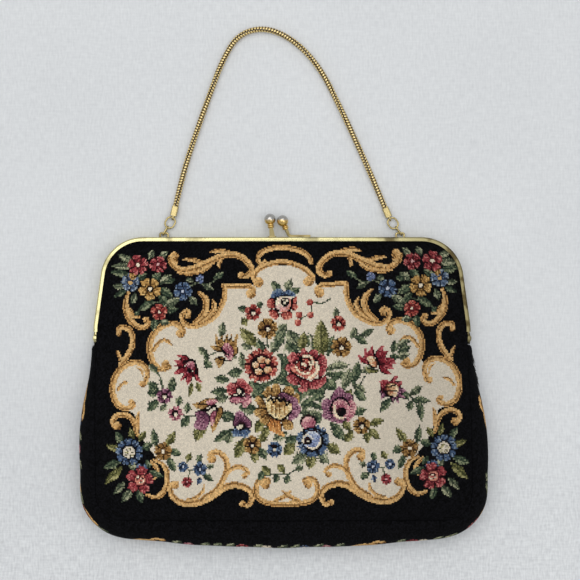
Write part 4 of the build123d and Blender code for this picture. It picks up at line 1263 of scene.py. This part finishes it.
def gusset_fraying(outer, finish):
    """Threads that have worked loose from the gusset below the right hinge."""
    chance = np.random.default_rng(11)
    curve = bpy.data.curves.new("loose_threads", "CURVE")
    curve.dimensions = "3D"
    last = outer.shape[1] - 1
    for _ in range(FRAYED_THREADS):
        row, column = chance.integers(15, 28), last - chance.integers(6, 24)
        lift, reach = chance.uniform(0.0003, 0.0012), chance.integers(7, 11)
        spline = curve.splines.new("POLY")
        spline.points.add(5)
        for share, point in zip(np.linspace(0, 1, 6), spline.points):
            x, y, z = outer[row, column - round(reach * share)]
            point.co = (x + lift * share**1.5, y + 0.3 * lift * share, z + 0.4 * lift * share, 1)
    base = bpy.data.objects.new("loose_threads", curve)
    bpy.context.collection.objects.link(base)
    tree = Tree("loose threads")
    ring = tree.node("GeometryNodeCurvePrimitiveCircle", None, Resolution=5,
                     Radius=tree.size("Thread Radius", FRAYED_RADIUS))[0]
    threads = tree.node("GeometryNodeCurveToMesh", None, Curve=tree.entry.outputs[0], Profile_Curve=ring,
                        Fill_Caps=True)[0]
    piece = tree.run(base, threads, "gusset_fraying", finish.material)
    bpy.data.objects.remove(base)
    return piece


def chain(finish):
    """Four rows of bulging links, each row half a link on from the next, marked for painted shade down
    between them.
    """
    route = chain_route()
    line = bpy.data.meshes.new_from_object(route)
    path = [tuple(vertex.co) for vertex in line.vertices]
    tree = Tree("chain links")
    pitch = tree.size("Pitch", CHAIN_PITCH)
    bulge = tree.size("Link Radius", CHAIN_LINK)
    points = tree.node("GeometryNodeCurveToPoints", {"mode": "LENGTH"}, Curve=tree.entry.outputs[0],
                       Length=pitch)
    ball = tree.node("GeometryNodeMeshUVSphere", None, Segments=10, Rings=7, Radius=bulge)[0]
    outward = tree.node("ShaderNodeSeparateXYZ", None, _0=tree.node("GeometryNodeInputPosition")[0])["X"]
    marked = tree.node("GeometryNodeStoreNamedAttribute", None, Geometry=ball, Name="crown",
                       Value=tree.math("DIVIDE", outward, bulge))[0]
    joined = tree.group.nodes.new("GeometryNodeJoinGeometry")
    for number in range(4):
        angle = math.pi / 4 + number * math.pi / 2
        place = (CHAIN_ROW * math.cos(angle), CHAIN_ROW * math.sin(angle), CHAIN_PITCH / 4 * (-1) ** number)
        oval = tree.node("GeometryNodeTransform", None, Geometry=marked, Translation=place,
                         Rotation=(LINK_TILT * (-1) ** number, 0, angle), Scale=LINK_SHAPE)[0]
        tree.group.links.new(oval, joined.inputs[0])
    turn = tree.node("ShaderNodeCombineXYZ", None,
                     Z=tree.math("MULTIPLY", tree.node("GeometryNodeInputIndex")[0], CHAIN_TWIST))[0]
    twisted = tree.node("FunctionNodeRotateRotation", {"rotation_space": "LOCAL"},
                        Rotation=points["Rotation"], _1=turn)[0]
    links = tree.node("GeometryNodeInstanceOnPoints", None, Points=points["Points"],
                      Instance=joined.outputs[0], Rotation=twisted)[0]
    piece = tree.run(route, links, "handle_chain_links", finish.material)
    piece.data.materials.clear()
    piece.data.materials.append(finish.material)
    piece.data.shade_smooth()
    bpy.data.objects.remove(route)
    return piece, path


def stage(scene):
    """Floor, lamps, world and camera."""
    finish = Finish("white cloth", {"Roughness": 0.95, "Specular IOR Level": 0.1})
    at = finish.place()
    broad = finish.noise(at, 9, 2)
    weave = 0.6 * finish.grain(at, (9, 2, 1), 110) + 0.4 * finish.grain(at, (2, 9, 1), 90)
    near = (-8 * finish.parts(at)["Y"]).between(-0.2, 1.2)
    shade = 0.5 + (1.2 + 1.6 * near) * (weave - 0.5) + 0.4 * (broad - 0.5)
    finish.feed(base_color=finish.mix(shade, tone(196, 198, 200), tone(226, 228, 229)))
    finish.bump(weave, 0.25, 0.0004)
    mesh = bpy.data.meshes.new("floor")
    mesh.from_pydata([(-3, -3, 0), (3, -3, 0), (3, 3, 0), (-3, 3, 0)], [], [(0, 1, 2, 3)])
    mesh.materials.append(finish.material)
    floor = bpy.data.objects.new("floor", mesh)
    scene.collection.objects.link(floor)
    for name, place, power, size in (
        ("window", (-0.52, 0.3, 1.34), 5.2, 1.0),
        ("room", (0.55, -0.12, 1.34), 4.5, 1.0),
        ("skylight", (0.08, 0.82, 1.36), 4.3, 1.0),
    ):
        lamp = bpy.data.lights.new(name, "AREA")
        lamp.energy, lamp.size = power, size
        lit = bpy.data.objects.new(name, lamp)
        lit.location = place
        lit.rotation_euler = (Vector((0, 0.03, 0)) - Vector(place)).to_track_quat("-Z", "Y").to_euler()
        scene.collection.objects.link(lit)
    world = bpy.data.worlds.new("studio")
    world.use_nodes = True
    sky = world.node_tree.nodes
    ramp = sky.new("ShaderNodeValToRGB")
    for element, (place, shade) in zip(ramp.color_ramp.elements, ((0.62, 0.62), (0.92, 0.4))):
        element.position, element.color = place, (0.97 * shade, 0.985 * shade, shade, 1)
    split, bearing = sky.new("ShaderNodeSeparateXYZ"), sky.new("ShaderNodeTexCoord")
    for start, end in (
        (bearing.outputs["Generated"], split.inputs[0]), (split.outputs["Z"], ramp.inputs[0]),
        (ramp.outputs[0], sky["Background"].inputs[0]),
    ):
        world.node_tree.links.new(start, end)
    scene.world = world
    view = bpy.data.cameras.new("camera")
    view.lens, view.sensor_width = CAMERA_LENS, 36
    camera = bpy.data.objects.new("camera", view)
    camera.location = CAMERA
    scene.collection.objects.link(camera)
    scene.camera = camera
    scene.view_settings.view_transform = "Standard"


def dress(finish, *names):
    """Give solids a finish."""
    for name in names:
        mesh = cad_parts[name].data
        mesh.materials.clear()
        mesh.materials.append(finish.material)


def main():
    scene = bpy.context.scene
    stage(scene)
    # The frame gilding paints shade onto the frame's right side.
    frame_gilt = gilt("frame gilding", tone(212, 203, 152), tone(92, 81, 53), 0.56, right_side_shade=1.3)
    chain_gilt = gilt("chain gilding", tone(190, 173, 122), tone(106, 86, 50), 0.7)
    # The clasp arms take a darker copy of the frame's gold: painted shade that dulls the light their flat
    # faces catch.
    clasp_gilt = gilt("clasp gilding", tone(160, 146, 104), tone(104, 88, 56), 0.6, 0.34)
    dress(frame_gilt, "front_frame", "back_frame", "hinge_rivet_left", "hinge_rivet_right")
    dress(clasp_gilt, "front_clasp_arm", "back_clasp_arm")
    dress(chain_gilt, "chain_cap_left", "chain_cap_right", "chain_loop_left", "chain_loop_right",
          "chain_link_left", "chain_link_right")
    dress(worn_ball(), "front_clasp_ball", "back_clasp_ball")

    links, path = chain(chain_gold())
    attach(links, "handle")
    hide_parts("handle_chain")

    threads, shine = stitched("tapestry threads"), satin()
    front = panel("front_panel", 1, threads)
    back = panel("back_panel", -1, threads)
    side, side_face = gusset("gusset", threads)
    front_inside = lining("front_lining", 1, shine)
    back_inside = lining("back_lining", -1, shine)
    side_inside = gusset_lining("gusset_lining", shine)
    for piece, node, slot in (
        (front, "front_panel", "tapestry"), (back, "back_panel", "tapestry"),
        (side, "gusset", "gusset_tapestry"),
        (front_inside, "front_lining", "lining_satin"), (back_inside, "back_lining", "lining_satin"),
        (side_inside, "gusset_lining", "lining_satin"),
    ):
        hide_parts(node)
    loose_thread = Finish("loose thread", {"Base Color": (*tone(14, 14, 16), 1), "Roughness": 0.9})
    fraying = gusset_fraying(side_face, loose_thread)
    for piece in (back, side, back_inside, side_inside, fraying):
        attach(piece, "back")
    for piece in (front, front_inside):
        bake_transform(piece)


main()
